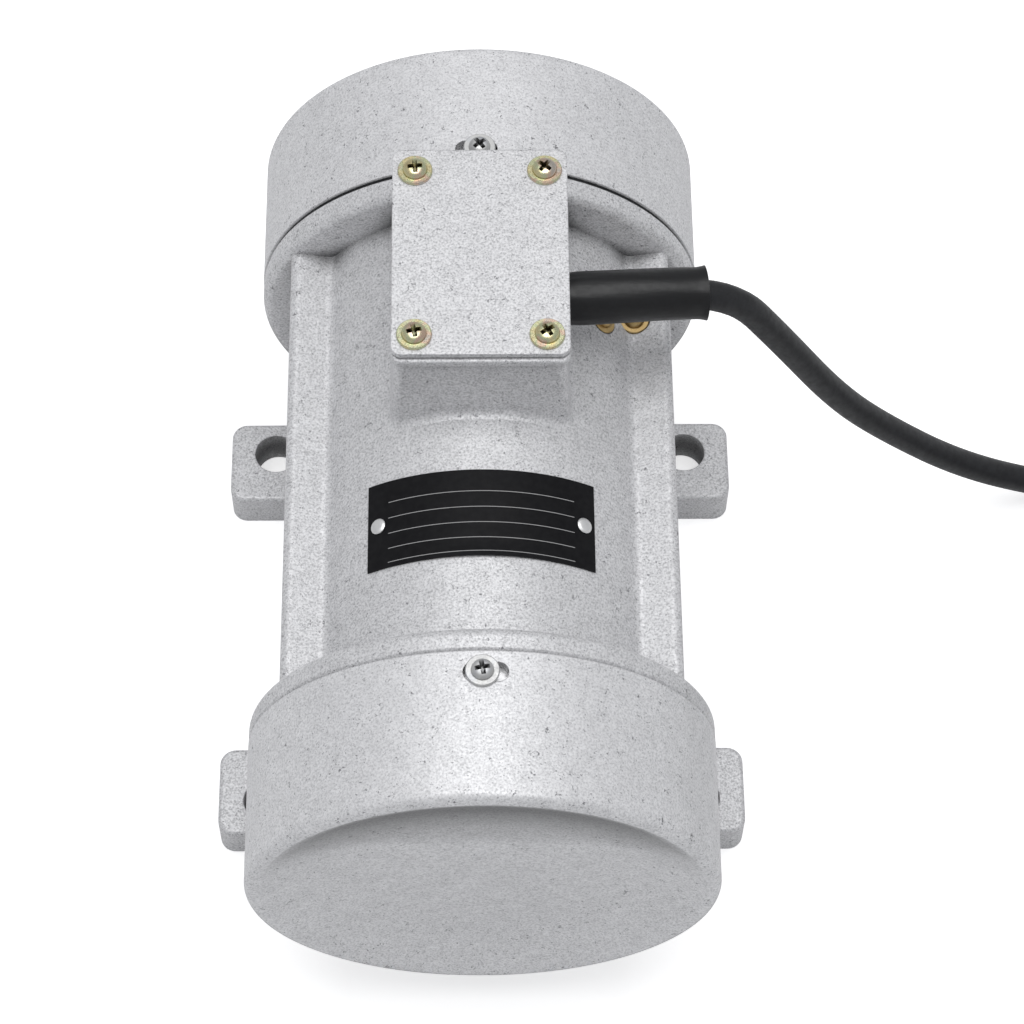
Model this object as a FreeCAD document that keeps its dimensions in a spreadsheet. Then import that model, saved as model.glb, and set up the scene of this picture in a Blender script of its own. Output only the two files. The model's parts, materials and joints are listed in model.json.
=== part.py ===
"""Attached vibration motor: a foot-mounted motor with an eccentric weight pair inside each end cap.

X is across the motor, Y along its shaft (the front end is at -Y), Z is up.
The origin lies on the foot plane, under the middle of the motor. Millimetres.
"""
import FreeCAD, Part
import math
import os
import sys
import Sketcher
from FreeCAD import Placement, Rotation, Vector
from types import SimpleNamespace

SIZES = {
    # whole motor
    "overall_length": 250.0,
    "axis_height": 88.8,
    # cast housing; heights ending in _rise are measured from the shaft axis
    "barrel_radius": 54.5,
    "bore_radius": 49.0,
    "flange_radius": 68.4,
    "flange_thickness": 7.4,
    "flange_round": 3.0,
    "flange_chamfer": 0.8,
    "body_half_width": 58.0,
    "skirt_wall": 6.0,
    "shoulder_outer_rise": 33.6,
    "shoulder_inner_rise": 29.3,
    "shoulder_inner_reach": 40.0,
    "shoulder_round": 2.5,
    "valley_round": 3.0,
    # feet
    "foot_reach": 83.4,
    "foot_length": 29.2,
    "foot_setback": 20.2,
    "foot_thickness": 14.5,
    "foot_corner": 5.0,
    "foot_edge_round": 1.2,
    "foot_hole_radius": 7.0,
    "foot_hole_edge": 14.9,
    "foot_hole_offset": 3.1,
    "rail_height": 33.5,
    # junction box
    "cover_width": 51.3,
    "cover_length": 70.5,
    "cover_setback": 3.4,
    "cover_top_rise": 82.0,
    "cover_thickness": 1.8,
    "cover_corner": 3.0,
    "cover_gasket": 0.6,
    "box_rim_height": 2.6,
    "box_rim_reach": 1.1,
    "box_rim_round": 0.7,
    "box_inset": 1.0,
    "box_wall": 3.6,
    "box_floor_rise": 52.3,
    "box_root_rise": 44.0,
    "box_side_flare": 2.0,
    "box_front_flare": 4.4,
    "box_foot_round": 2.5,
    "cover_screw_across": 38.0,
    "cover_screw_along": 56.5,
    "screw_boss": 7.6,
    "lead_hole_place": 10.0,
    "lead_hole_radius": 5.5,
    # end caps; lengths along an end are measured outwards from the flange joint
    "cap_radius": 68.5,
    "cap_length": 44.8,
    "cap_wall": 3.4,
    "cap_edge_round": 2.5,
    "dish_radius": 64.5,
    "dish_floor_radius": 46.0,
    "dish_depth": 6.0,
    "dish_round": 90.0,
    "crest_round": 3.0,
    "front_seal": 0.3,
    "rear_seal": 0.9,
    "seal_width": 2.6,
    "slot_length": 12.7,
    "slot_width": 5.8,
    "slot_offset": 0.95,
    "cap_screw_place": 6.7,
    "cap_screw_count": 3,
    # bearing shields
    "shield_clearance": 0.1,
    "shield_rim_length": 13.0,
    "shield_rim_inner": 54.2,
    "shield_web": 6.0,
    "spigot_length": 4.0,
    "spigot_inner": 42.0,
    "hub_radius": 30.0,
    "hub_end_wall": 2.6,
    "shaft_gap": 1.2,
    "rib_count": 6,
    "rib_thickness": 5.0,
    "rib_height": 4.0,
    "shield_screw_circle": 59.6,
    "shield_screw_count": 4,
    # ball bearings (20 x 47 x 14)
    "bearing_bore_radius": 10.0,
    "bearing_outer_radius": 23.5,
    "bearing_width": 14.0,
    "bearing_inboard": 4.5,
    "seat_fit": 0.02,
    "ball_radius": 3.9,
    "ball_count": 8,
    "pitch_radius": 16.75,
    "ball_clearance": 0.15,
    "inner_ring_edge": 14.3,
    "outer_ring_edge": 19.2,
    "ring_round": 0.8,
    "cage_wall": 1.2,
    "cage_width": 10.6,
    "pocket_clearance": 0.25,
    "spring_washer_height": 1.2,
    "spring_washer_wall": 3.0,
    # shaft
    "rotor_seat_radius": 12.0,
    "weight_seat_radius": 9.0,
    "shaft_end_place": 34.4,
    "shaft_chamfer": 1.0,
    "circlip_width": 1.2,
    "circlip_depth": 0.7,
    "circlip_height": 2.6,
    "key_width": 6.0,
    "key_height": 6.0,
    "key_depth": 3.5,
    # stator and rotor
    "core_length": 64.0,
    "stator_inner_radius": 26.5,
    "air_gap": 0.4,
    "slot_count": 24,
    "slot_mouth": 2.2,
    "slot_lip": 1.0,
    "slot_neck": 1.2,
    "slot_top_width": 3.4,
    "slot_bottom_width": 6.4,
    "slot_bottom_radius": 38.5,
    "slot_corner": 1.6,
    "wire_clearance": 0.3,
    "wire_reach": 2.0,
    "coil_inner_radius": 28.5,
    "coil_outer_radius": 44.0,
    "coil_gap": 1.0,
    "coil_reach": 15.0,
    "coil_taper": 3.5,
    "coil_round": 4.0,
    "bar_count": 18,
    "bar_radius": 2.4,
    "bar_circle": 22.2,
    "end_ring_length": 6.0,
    "end_ring_inner": 17.0,
    "end_ring_step": 0.6,
    "vane_count": 9,
    "vane_length": 5.0,
    "vane_thickness": 2.2,
    "vane_inset": 1.1,
    # eccentric weights
    "weight_radius": 55.0,
    "weight_thickness": 8.4,
    "weight_first_place": 14.2,
    "weight_gap": 0.6,
    "weight_hub_half_width": 13.0,
    "weight_hub_rise": 22.0,
    "weight_corner": 3.0,
    "weight_fit": 0.06,
    "clamp_slit": 2.0,
    "clamp_bolt_rise": 15.5,
    "clamp_bolt_radius": 2.0,
    "clamp_head_radius": 3.5,
    "clamp_head_height": 4.0,
    "socket_ratio": 0.55,
    # cover screws, cap screws, earth screws: washer-head cross-recessed screws
    "cover_washer_radius": 5.1,
    "cap_washer_radius": 4.8,
    "earth_washer_radius": 4.7,
    "washer_thickness": 0.9,
    "pan_head_ratio": 0.66,
    "pan_head_height": 2.1,
    "machine_screw_radius": 2.0,
    "cover_screw_reach": 9.0,
    "cap_screw_reach": 12.5,
    "earth_screw_reach": 4.2,
    "hole_clearance": 0.1,
    "earth_angle": 43.0,
    "earth_screw_offset": 3.5,
    "earth_shoulder_x": 46.9,
    "earth_shoulder_offset": 8.5,
    "earth_seat_depth": 0.6,
    "shield_screw_radius": 2.5,
    "shield_head_radius": 4.25,
    "shield_head_height": 5.0,
    "shield_screw_reach": 5.5,
    # nameplate
    "plate_thickness": 0.6,
    "plate_half_angle": 36.5,
    "plate_height": 28.0,
    "plate_middle": 30.0,
    "rivet_angle": 32.6,
    "rivet_head_radius": 2.4,
    "rivet_head_height": 0.8,
    "rivet_shank_radius": 1.2,
    "rivet_reach": 4.0,
    "rivet_seat_gap": 0.05,
    # cable sleeve and cord
    "sleeve_start_x": 16.4,
    "sleeve_offset": 4.5,
    "sleeve_rise": 62.4,
    "sleeve_end_x": 66.5,
    "sleeve_swing": 4.5,
    "sleeve_end_rise": 59.6,
    "sleeve_radius": 8.1,
    "sleeve_end_radius": 7.7,
    "sleeve_lip": 0.5,
    "sleeve_flare": 5.0,
    "collar_radius": 9.8,
    "collar_length": 3.0,
    "cord_radius": 4.5,
    "cord_fit": 0.1,
    "lead_in_reach": 4.0,
    "mouth_radius": 6.0,
    "mouth_depth": 12.0,
    # terminal block and capacitor
    "terminal_width": 26.0,
    "terminal_depth": 11.0,
    "terminal_height": 12.0,
    "terminal_gap": 1.2,
    "terminal_count": 3,
    "terminal_pitch": 8.0,
    "terminal_screw_radius": 2.0,
    "capacitor_width": 17.0,
    "capacitor_length": 36.0,
    "capacitor_height": 17.0,
    "capacitor_gap": 1.05,
    "capacitor_offset": 0.5,
    "capacitor_round": 2.0,
    # plug, a moulded earthed plug with two flat blades
    "coil_turn_radius": 50.0,
    "plug_width": 24.0,
    "plug_height": 24.0,
    "plug_length": 30.0,
    "plug_round": 6.0,
    "relief_length": 26.0,
    "relief_radius": 6.5,
    "blade_width": 6.4,
    "blade_thickness": 1.5,
    "blade_length": 16.0,
    "blade_spacing": 12.7,
    "blade_offset": 2.0,
    "earth_pin_drop": 6.5,
    "earth_pin_radius": 2.4,
    "earth_pin_length": 18.0,
}


class Size:
    """A number together with the spreadsheet expression that it comes from."""

    def __init__(self, value, text):
        self.value = value
        self.text = text

    def __add__(self, other):
        other = as_size(other)
        return Size(self.value + other.value, f"({self.text} + {other.text})")

    def __sub__(self, other):
        other = as_size(other)
        return Size(self.value - other.value, f"({self.text} - {other.text})")

    def __mul__(self, other):
        other = as_size(other)
        return Size(self.value * other.value, f"({self.text} * {other.text})")

    def __truediv__(self, other):
        other = as_size(other)
        return Size(self.value / other.value, f"({self.text} / {other.text})")

    def __neg__(self):
        return Size(-self.value, f"(-1 * {self.text})")

    def __radd__(self, other):
        return as_size(other) + self

    def __rsub__(self, other):
        return as_size(other) - self

    def __rmul__(self, other):
        return as_size(other) * self


def as_size(thing):
    """A plain number becomes a Size too, so that the two can be mixed."""
    if isinstance(thing, Size):
        return thing
    return Size(float(thing), str(float(thing)))


def sine(angle):
    return Size(math.sin(math.radians(angle.value)), f"sin({angle.text} * 1 deg)")


def cosine(angle):
    return Size(math.cos(math.radians(angle.value)), f"cos({angle.text} * 1 deg)")


def root(size):
    return Size(math.sqrt(size.value), f"sqrt({size.text})")


def make_sheet(document):
    """Write every driving size into the spreadsheet and return them as Size objects."""
    sheet = document.addObject("Spreadsheet::Sheet", "Sizes")
    table = SimpleNamespace()
    for row, (name, value) in enumerate(SIZES.items(), start=1):
        sheet.set(f"A{row}", name)
        sheet.set(f"B{row}", str(value))
        sheet.setAlias(f"B{row}", name)
        setattr(table, name, Size(float(value), f"Sizes.{name}"))
    document.recompute()
    return table


doc = FreeCAD.newDocument("VibrationMotor")
d = make_sheet(doc)
parts = {}

# sizes that several pieces share
joint = d.overall_length / 2 - d.cap_length
barrel_half = joint - d.flange_thickness
cap_inner = d.cap_radius - d.cap_wall
shield_radius = cap_inner - d.shield_clearance
core_half = d.core_length / 2
rotor_radius = d.stator_inner_radius - d.air_gap
cover_middle = joint - d.cover_setback - d.cover_length / 2
box_middle = cover_middle - d.box_rim_reach / 2
cover_under_rise = d.cover_top_rise - d.cover_thickness
rim_top_rise = cover_under_rise - d.cover_gasket
box_half_width = d.cover_width / 2 - d.box_inset
rim_half_length = (d.cover_length + d.box_rim_reach) / 2
box_half_length = rim_half_length - d.box_inset
foot_middle = joint - d.foot_setback
sleeve_y = box_middle - d.sleeve_offset
sleeve_end_y = sleeve_y + d.sleeve_swing
weight_second_place = d.weight_first_place + d.weight_thickness + d.weight_gap
circlip_place = weight_second_place + d.weight_thickness + d.weight_gap / 2

UPRIGHT = Rotation()
FRONT_TURN = Rotation(Vector(1, 0, 0), 90)
REAR_TURN = Rotation(Vector(0, 0, 1), 180) * FRONT_TURN
SIDES = {"front": (-joint, FRONT_TURN), "rear": (joint, REAR_TURN)}


# ---------------------------------------------------------------- modelling helpers

def bind(thing, **sizes):
    """Set properties of a document object, each tied to its expression."""
    for name, size in sizes.items():
        size = as_size(size)
        setattr(thing, name, size.value)
        if "Sizes." in size.text:
            thing.setExpression(name, size.text)


def place(thing, x, y, z, turn=UPRIGHT, where="Placement"):
    """Put an object at a place whose three coordinates stay tied to the sizes."""
    sizes = [as_size(x), as_size(y), as_size(z)]
    setattr(thing, where, Placement(Vector(*[size.value for size in sizes]), turn))
    for axis, size in zip("xyz", sizes):
        if "Sizes." in size.text:
            thing.setExpression(f"{where}.Base.{axis}", size.text)


def new_body(label, keep=True):
    body = doc.addObject("PartDesign::Body", label)
    body.Label = label
    body.AllowCompound = True
    if keep:
        parts[label] = body
    return body


def keep_part(label, thing):
    thing.Label = label
    parts[label] = thing
    return thing


def place_on_axis(body):
    """The local Z axis runs along the shaft towards the front, from the motor's middle."""
    place(body, 0, 0, d.axis_height, FRONT_TURN)


def place_at_end(body, side):
    """The local Z axis runs outwards along the shaft from the flange joint, local Y is up."""
    joint_y, turn = SIDES[side]
    place(body, 0, joint_y, d.axis_height, turn)


def origin_part(body, role):
    return next(part for part in body.Origin.OriginFeatures if part.Role == role)


def new_sketch(body, name, plane="XY_Plane", offset=0):
    sketch = body.newObject("Sketcher::SketchObject", name)
    sketch.AttachmentSupport = [(origin_part(body, plane), "")]
    sketch.MapMode = "FlatFace"
    place(sketch, 0, 0, offset, where="AttachmentOffset")
    return sketch


def tie(sketch, kind, *where_and_size):
    """Add one dimension to a sketch, tied to its size's expression."""
    *where, size = where_and_size
    index = sketch.addConstraint(Sketcher.Constraint(kind, *where, size.value))
    if "Sizes." in size.text:
        sketch.setExpression(f"Constraints[{index}]", size.text)


def pin(sketch, edge, point, x, y):
    tie(sketch, "DistanceX", -1, 1, edge, point, x)
    tie(sketch, "DistanceY", -1, 1, edge, point, y)


def arc_between(centre, radius, start, end, anticlockwise):
    """Return an arc and which of its own ends (1 or 2) lies at start and at end."""
    first = math.atan2(start.y - centre.y, start.x - centre.x)
    last = math.atan2(end.y - centre.y, end.x - centre.x)
    circle = Part.Circle(centre, Vector(0, 0, 1), radius)
    if anticlockwise:
        return Part.ArcOfCircle(circle, first, last), 1, 2
    return Part.ArcOfCircle(circle, last, first), 2, 1


def rounded_corner(before, corner, after, radius):
    """Where a rounding leaves the two edges of a corner, its centre and its turning sense."""
    arriving = (corner - before).normalize()
    leaving = (after - corner).normalize()
    turn = arriving.getAngle(leaving)
    reach = radius * math.tan(turn / 2)
    left = arriving.x * leaving.y - arriving.y * leaving.x > 0
    inward = Vector(-arriving.y, arriving.x) if left else Vector(arriving.y, -arriving.x)
    start = corner - arriving * reach
    return start, corner + leaving * reach, start + inward * radius, left


def outline(sketch, corners, domes=()):
    """Draw a closed loop through corners (x, y) or (x, y, rounding), each pinned to its sizes.

    An edge that starts at a corner whose number is in domes is an arc centred on the sketch's
    upright axis; every other edge is straight.
    """
    sizes = [tuple(as_size(part) for part in corner) for corner in corners]
    spots = [Vector(corner[0].value, corner[1].value) for corner in sizes]
    count = len(spots)
    bends = {}
    for i, corner in enumerate(sizes):
        if len(corner) == 3 and corner[2].value > 0:
            before, after = spots[i - 1], spots[(i + 1) % count]
            bends[i] = rounded_corner(before, spots[i], after, corner[2].value)
    edges = []
    for i in range(count):
        start = bends[i][1] if i in bends else spots[i]
        following = (i + 1) % count
        end = bends[following][0] if following in bends else spots[following]
        if i in domes:
            height = (end.x ** 2 + end.y ** 2 - start.x ** 2 - start.y ** 2) / (2 * (end.y - start.y))
            centre = Vector(0, height)
            anticlockwise = (start - centre).cross(end - centre).z > 0
            radius = (start - centre).Length
            shape, first, last = arc_between(centre, radius, start, end, anticlockwise)
            edge = sketch.addGeometry(shape, False)
            sketch.addConstraint(Sketcher.Constraint("PointOnObject", edge, 3, -2))
        else:
            edge, first, last = sketch.addGeometry(Part.LineSegment(start, end), False), 1, 2
        edges.append((edge, first, last))
    for i, corner in enumerate(sizes):
        arriving, _, arriving_end = edges[i - 1]
        leaving, leaving_start, _ = edges[i]
        if i not in bends:
            sketch.addConstraint(
                Sketcher.Constraint("Coincident", arriving, arriving_end, leaving, leaving_start))
            pin(sketch, leaving, leaving_start, corner[0], corner[1])
            continue
        start, end, centre, left = bends[i]
        shape, first, last = arc_between(centre, corner[2].value, start, end, left)
        arc = sketch.addGeometry(shape, False)
        tip = sketch.addGeometry(Part.Point(spots[i]), True)
        sketch.addConstraint(Sketcher.Constraint("Tangent", arriving, arriving_end, arc, first))
        sketch.addConstraint(Sketcher.Constraint("Tangent", arc, last, leaving, leaving_start))
        sketch.addConstraint(Sketcher.Constraint("PointOnObject", tip, 1, arriving))
        sketch.addConstraint(Sketcher.Constraint("PointOnObject", tip, 1, leaving))
        tie(sketch, "Radius", arc, corner[2])
        pin(sketch, tip, 1, corner[0], corner[1])
    return sketch


def rectangle(sketch, left, bottom, right, top, rounding=0):
    corners = [(left, bottom), (right, bottom), (right, top), (left, top)]
    return outline(sketch, [corner + (rounding,) for corner in corners])


def circle(sketch, x, y, radius):
    x, y, radius = as_size(x), as_size(y), as_size(radius)
    centre = Vector(x.value, y.value)
    index = sketch.addGeometry(Part.Circle(centre, Vector(0, 0, 1), radius.value), False)
    tie(sketch, "Radius", index, radius)
    pin(sketch, index, 3, x, y)
    return sketch


def stadium(sketch, x, y, length, width):
    """A slot with round ends that runs along the sketch's X axis."""
    x, y = as_size(x), as_size(y)
    half = (length - width) / 2
    left = Vector(x.value - half.value, y.value)
    right = Vector(x.value + half.value, y.value)
    up = Vector(0, width.value / 2)
    arcs = []
    for centre, start, end in ((left, left + up, left - up), (right, right - up, right + up)):
        arcs.append(sketch.addGeometry(arc_between(centre, up.y, start, end, True)[0], False))
    lower = sketch.addGeometry(Part.LineSegment(left - up, right - up), False)
    upper = sketch.addGeometry(Part.LineSegment(right + up, left + up), False)
    for meeting in ((arcs[0], 2, lower, 1), (lower, 2, arcs[1], 1),
                    (arcs[1], 2, upper, 1), (upper, 2, arcs[0], 1)):
        sketch.addConstraint(Sketcher.Constraint("Tangent", *meeting))
    sketch.addConstraint(Sketcher.Constraint("Equal", arcs[0], arcs[1]))
    tie(sketch, "Radius", arcs[0], width / 2)
    pin(sketch, arcs[0], 3, x - half, y)
    pin(sketch, arcs[1], 3, x + half, y)
    return sketch


def pad(body, name, sketch, length, midplane=False, backwards=False):
    feature = body.newObject("PartDesign::Pad", name)
    feature.Profile = sketch
    bind(feature, Length=length)
    feature.Midplane = midplane
    feature.Reversed = backwards
    return feature


def pocket(body, name, sketch, length=None, midplane=False, backwards=False):
    """Cut a sketch into the body, to a depth or, with no depth, through everything on one side."""
    feature = body.newObject("PartDesign::Pocket", name)
    feature.Profile = sketch
    if length is None:
        feature.Type = "ThroughAll"
    else:
        bind(feature, Length=length)
    feature.Midplane = midplane
    feature.Reversed = backwards
    return feature


def turn_about(body, name, kind, sketch, axis="Z_Axis", angle=360):
    feature = body.newObject(f"PartDesign::{kind}", name)
    feature.Profile = sketch
    if axis == "drawn":
        feature.ReferenceAxis = (sketch, ["Axis0"])
    else:
        feature.ReferenceAxis = (origin_part(body, axis), [""])
    bind(feature, Angle=angle)
    feature.Midplane = as_size(angle).value < 360
    return feature


def revolve(body, name, corners, plane="XZ_Plane", axis="Z_Axis", domes=(), angle=360):
    """Turn an outline of (distance from the axis, place along it) into a solid."""
    sketch = outline(new_sketch(body, name + "Profile", plane), corners, domes)
    return turn_about(body, name, "Revolution", sketch, axis, angle)


def polar(body, name, features, count, axis="Z_Axis"):
    doc.recompute()
    pattern = body.newObject("PartDesign::PolarPattern", name)
    pattern.Originals = features
    pattern.Axis = (origin_part(body, axis), [""])
    pattern.Angle = 360
    pattern.Occurrences = int(as_size(count).value)
    pattern.setExpression("Occurrences", as_size(count).text)
    body.Tip = pattern
    return pattern


def drill(body, name, x, y, z, turn, radius, length):
    """Cut a round hole from a point along the turned Z axis."""
    hole = body.newObject("PartDesign::SubtractiveCylinder", name)
    bind(hole, Radius=radius, Height=length)
    place(hole, x, y, z, turn)
    return hole


def round_edges(body, name, radius, choose):
    """Round the edges of the body that a test on their middle point and length picks out."""
    doc.recompute()
    base = body.Tip
    names = []
    for index, edge in enumerate(base.Shape.Edges, start=1):
        middle = edge.valueAt((edge.FirstParameter + edge.LastParameter) / 2)
        if choose(edge, middle):
            names.append(f"Edge{index}")
    feature = body.newObject("PartDesign::Fillet", name)
    feature.Base = (base, names)
    bind(feature, Radius=radius)
    return feature


def group(label, master, places, side=None):
    """One node that holds a copy of the master body at each of the places (x, y, z, turn)."""
    links = []
    for number, (x, y, z, turn) in enumerate(places, start=1):
        link = doc.addObject("App::Link", f"{label}_{number}")
        link.LinkedObject = master
        place(link, x, y, z, turn, where="LinkPlacement")
        links.append(link)
    compound = doc.addObject("Part::Compound", label)
    compound.Links = links
    if side:
        place_at_end(compound, side)
    return keep_part(label, compound)


# ---------------------------------------------------------------- cast housing

def housing_barrel(body):
    """Barrel with a round flange at each end, turned about the shaft axis."""
    axis, edge, rim = d.axis_height, d.axis_height + d.barrel_radius, d.axis_height + d.flange_radius
    sketch = new_sketch(body, "BarrelProfile", "YZ_Plane")
    corners = [
        (-joint, axis), (joint, axis),
        (joint, rim - d.flange_chamfer), (joint - d.flange_chamfer, rim),
        (barrel_half, rim, d.flange_round), (barrel_half, edge),
        (-barrel_half, edge), (-barrel_half, rim, d.flange_round),
        (-joint + d.flange_chamfer, rim), (-joint, rim - d.flange_chamfer),
    ]
    outline(sketch, corners)
    ends = (Vector(-joint.value, axis.value), Vector(joint.value, axis.value))
    line = sketch.addGeometry(Part.LineSegment(*ends), True)
    pin(sketch, line, 1, -joint, axis)
    pin(sketch, line, 2, joint, axis)
    turn_about(body, "Barrel", "Revolution", sketch, "drawn")


def housing_skirts(body):
    """Upper side walls, from the foot rails to sloping shoulders beside the barrel."""
    axis, wall, inner, foot = d.axis_height, d.body_half_width, d.shoulder_inner_reach, d.rail_height
    sketch = new_sketch(body, "SkirtSection", "XZ_Plane")
    for hand in (1, -1):
        outline(sketch, [
            (hand * wall, foot), (hand * wall, axis + d.shoulder_outer_rise, d.shoulder_round),
            (hand * inner, axis + d.shoulder_inner_rise), (hand * inner, axis),
            (hand * (wall - d.skirt_wall), axis), (hand * (wall - d.skirt_wall), foot),
        ])
    pad(body, "Skirts", sketch, barrel_half * 2, midplane=True)


def make_foot_rail(label, hand):
    """The lower side wall of the casting with its two feet, kept apart for its simple shape."""
    body = new_body(label)
    wall, inner = hand * d.body_half_width, hand * (d.body_half_width - d.skirt_wall)
    section = outline(new_sketch(body, "WallSection", "XZ_Plane"),
                      [(inner, 0), (wall, 0), (wall, d.rail_height), (inner, d.rail_height)])
    pad(body, "Wall", section, barrel_half * 2, midplane=True)
    root_x, tip_x = hand * (d.body_half_width - d.skirt_wall / 2), hand * d.foot_reach
    half = d.foot_length / 2
    plan = new_sketch(body, "FootPlan")
    for end in (1, -1):
        near, far = end * foot_middle - half, end * foot_middle + half
        outline(plan, [
            (root_x, near), (tip_x, near, d.foot_corner), (tip_x, far, d.foot_corner), (root_x, far),
        ])
    pad(body, "Feet", plan, d.foot_thickness)

    def on_top_rim(edge, middle):
        level = abs(middle.z - d.foot_thickness.value) < 0.01
        return level and abs(middle.x) > d.body_half_width.value + 0.5

    round_edges(body, "FootEdges", d.foot_edge_round, on_top_rim)
    holes = new_sketch(body, "FootHolePlan")
    hole_x = tip_x - hand * d.foot_hole_edge
    for end in (1, -1):
        circle(holes, hole_x, end * (foot_middle + d.foot_hole_offset), d.foot_hole_radius)
    pocket(body, "FootHoles", holes, d.foot_thickness + 1, backwards=True)


def housing_box(body):
    """Junction box walls that flare down to the barrel, with a rim as wide as the cover."""
    axis = d.axis_height
    wall_top = axis + rim_top_rise - d.box_rim_height
    front, back = box_middle - box_half_length, box_middle + box_half_length
    root_half_width = box_half_width + d.box_side_flare
    low_plan = new_sketch(body, "BoxRootPlan", offset=axis + d.box_root_rise)
    rectangle(low_plan, -root_half_width, front - d.box_front_flare, root_half_width, back)
    high_plan = new_sketch(body, "BoxTopPlan", offset=wall_top)
    rectangle(high_plan, -box_half_width, front, box_half_width, back)
    walls = body.newObject("PartDesign::AdditiveLoft", "BoxWalls")
    walls.Profile = low_plan
    walls.Sections = [high_plan]
    walls.Ruled = True

    def at_front_corner(edge, middle):
        upright = abs(edge.tangentAt(edge.FirstParameter).z) > 0.9
        in_corner = box_half_width.value < abs(middle.x) < root_half_width.value
        return upright and in_corner and abs(middle.y - front.value) < d.box_front_flare.value

    def at_box_foot(edge, middle):
        off_axis = math.hypot(middle.x, middle.z - axis.value)
        under_box = abs(middle.x) < root_half_width.value and abs(middle.y) < barrel_half.value - 1
        return under_box and middle.z > axis.value and abs(off_axis - d.barrel_radius.value) < 0.6

    round_edges(body, "BoxCorners", d.cover_corner, at_front_corner)
    round_edges(body, "BoxFoot", d.box_foot_round, at_box_foot)
    rim = new_sketch(body, "RimPlan", offset=wall_top)
    half = d.cover_width / 2
    rectangle(rim, -half, box_middle - rim_half_length, half, box_middle + rim_half_length, d.cover_corner)
    pad(body, "BoxRim", rim, d.box_rim_height)

    def around_rim_top(edge, middle):
        return abs(middle.z - axis.value - rim_top_rise.value) < 0.01

    round_edges(body, "RimEdge", d.box_rim_round, around_rim_top)


def box_cavity_corners():
    """A cross-shaped hollow that leaves a screw boss in each corner of the box."""
    reach_x, reach_y = box_half_width - d.box_wall, box_half_length - d.box_wall
    notch_x, notch_y = reach_x - d.screw_boss * 0.75, reach_y - d.screw_boss
    quarter = [(reach_x, notch_y), (notch_x, notch_y), (notch_x, reach_y)]
    corners = []
    for hand, end, order in ((1, 1, 1), (-1, 1, -1), (-1, -1, 1), (1, -1, -1)):
        for x, y in quarter[::order]:
            corners.append((hand * x, box_middle + end * y))
    return corners


def housing_hollows(body):
    axis = d.axis_height
    bore = new_sketch(body, "BoreProfile", "YZ_Plane")
    end = joint + 1
    outline(bore, [(-end, axis), (end, axis), (end, axis + d.bore_radius), (-end, axis + d.bore_radius)])
    ends = (Vector(-end.value, axis.value), Vector(end.value, axis.value))
    line = bore.addGeometry(Part.LineSegment(*ends), True)
    pin(bore, line, 1, -end, axis)
    pin(bore, line, 2, end, axis)
    turn_about(body, "Bore", "Groove", bore, "drawn")
    cavity = new_sketch(body, "CavityPlan", offset=axis + rim_top_rise)
    outline(cavity, box_cavity_corners())
    pocket(body, "BoxCavity", cavity, rim_top_rise - d.box_floor_rise)
    screws = new_sketch(body, "CoverScrewPlan", offset=axis + rim_top_rise)
    for x, y in cover_screw_places():
        circle(screws, x, y, d.machine_screw_radius + d.hole_clearance)
    pocket(body, "CoverScrewHoles", screws, d.cover_screw_reach)
    leads = new_sketch(body, "LeadPlan", offset=axis + d.box_floor_rise)
    circle(leads, d.lead_hole_radius, box_middle + d.lead_hole_place, d.lead_hole_radius)
    pocket(body, "LeadHole", leads, d.box_floor_rise - d.bore_radius / 2)
    cable = new_sketch(body, "CableHolePlan", "YZ_Plane")
    circle(cable, sleeve_wall_y, axis + sleeve_wall_rise, d.sleeve_radius + 0.4)
    pocket(body, "CableHole", cable, d.body_half_width, backwards=True)
    for number, (side, (joint_y, turn)) in enumerate(SIDES.items(), start=1):
        for spoke in range(int(d.shield_screw_count.value)):
            angle = 45 + spoke * 360 / d.shield_screw_count.value
            across = d.shield_screw_circle * math.sin(math.radians(angle))
            rise = d.shield_screw_circle * math.cos(math.radians(angle))
            inward = Rotation(Vector(1, 0, 0), -90 if side == "front" else 90)
            drill(body, f"FlangeHole{number}{spoke}", across, joint_y, axis + rise, inward,
                  d.shield_screw_radius + d.hole_clearance, d.shield_screw_reach + 0.4)


def housing_small_holes(body):
    """Holes for the rivets of the nameplate and for the two earth screws."""
    for number, (x, y, z, turn) in enumerate(rivet_places(), start=1):
        drill(body, f"RivetHole{number}", x, y, z, turn * Rotation(Vector(1, 0, 0), 180),
              d.rivet_shank_radius + d.hole_clearance, d.rivet_reach + 0.4)
    for number, (x, y, z, turn) in enumerate(earth_screw_places(), start=1):
        drill(body, f"EarthHole{number}", x, y, z, turn * Rotation(Vector(1, 0, 0), 180),
              d.machine_screw_radius + d.hole_clearance, d.earth_screw_reach + 0.4)
        drill(body, f"EarthSeat{number}", x, y, z, turn, d.earth_washer_radius + 0.3, d.box_wall)


def housing_roundings(body):
    def in_valley(edge, middle):
        along = abs(edge.tangentAt(edge.FirstParameter).y) > 0.999
        low = abs(middle.x) > d.shoulder_inner_reach.value
        radius = math.hypot(middle.x, middle.z - d.axis_height.value)
        on_barrel = abs(radius - d.barrel_radius.value) < 0.05
        return along and low and on_barrel and middle.z > d.axis_height.value + 10

    round_edges(body, "Valleys", d.valley_round, in_valley)


def make_housing():
    body = new_body("motor_housing")
    housing_barrel(body)
    housing_skirts(body)
    housing_roundings(body)
    housing_box(body)
    housing_hollows(body)
    housing_small_holes(body)
    make_foot_rail("right_foot_rail", 1)
    make_foot_rail("left_foot_rail", -1)


# ---------------------------------------------------------------- places that pieces share

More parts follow.
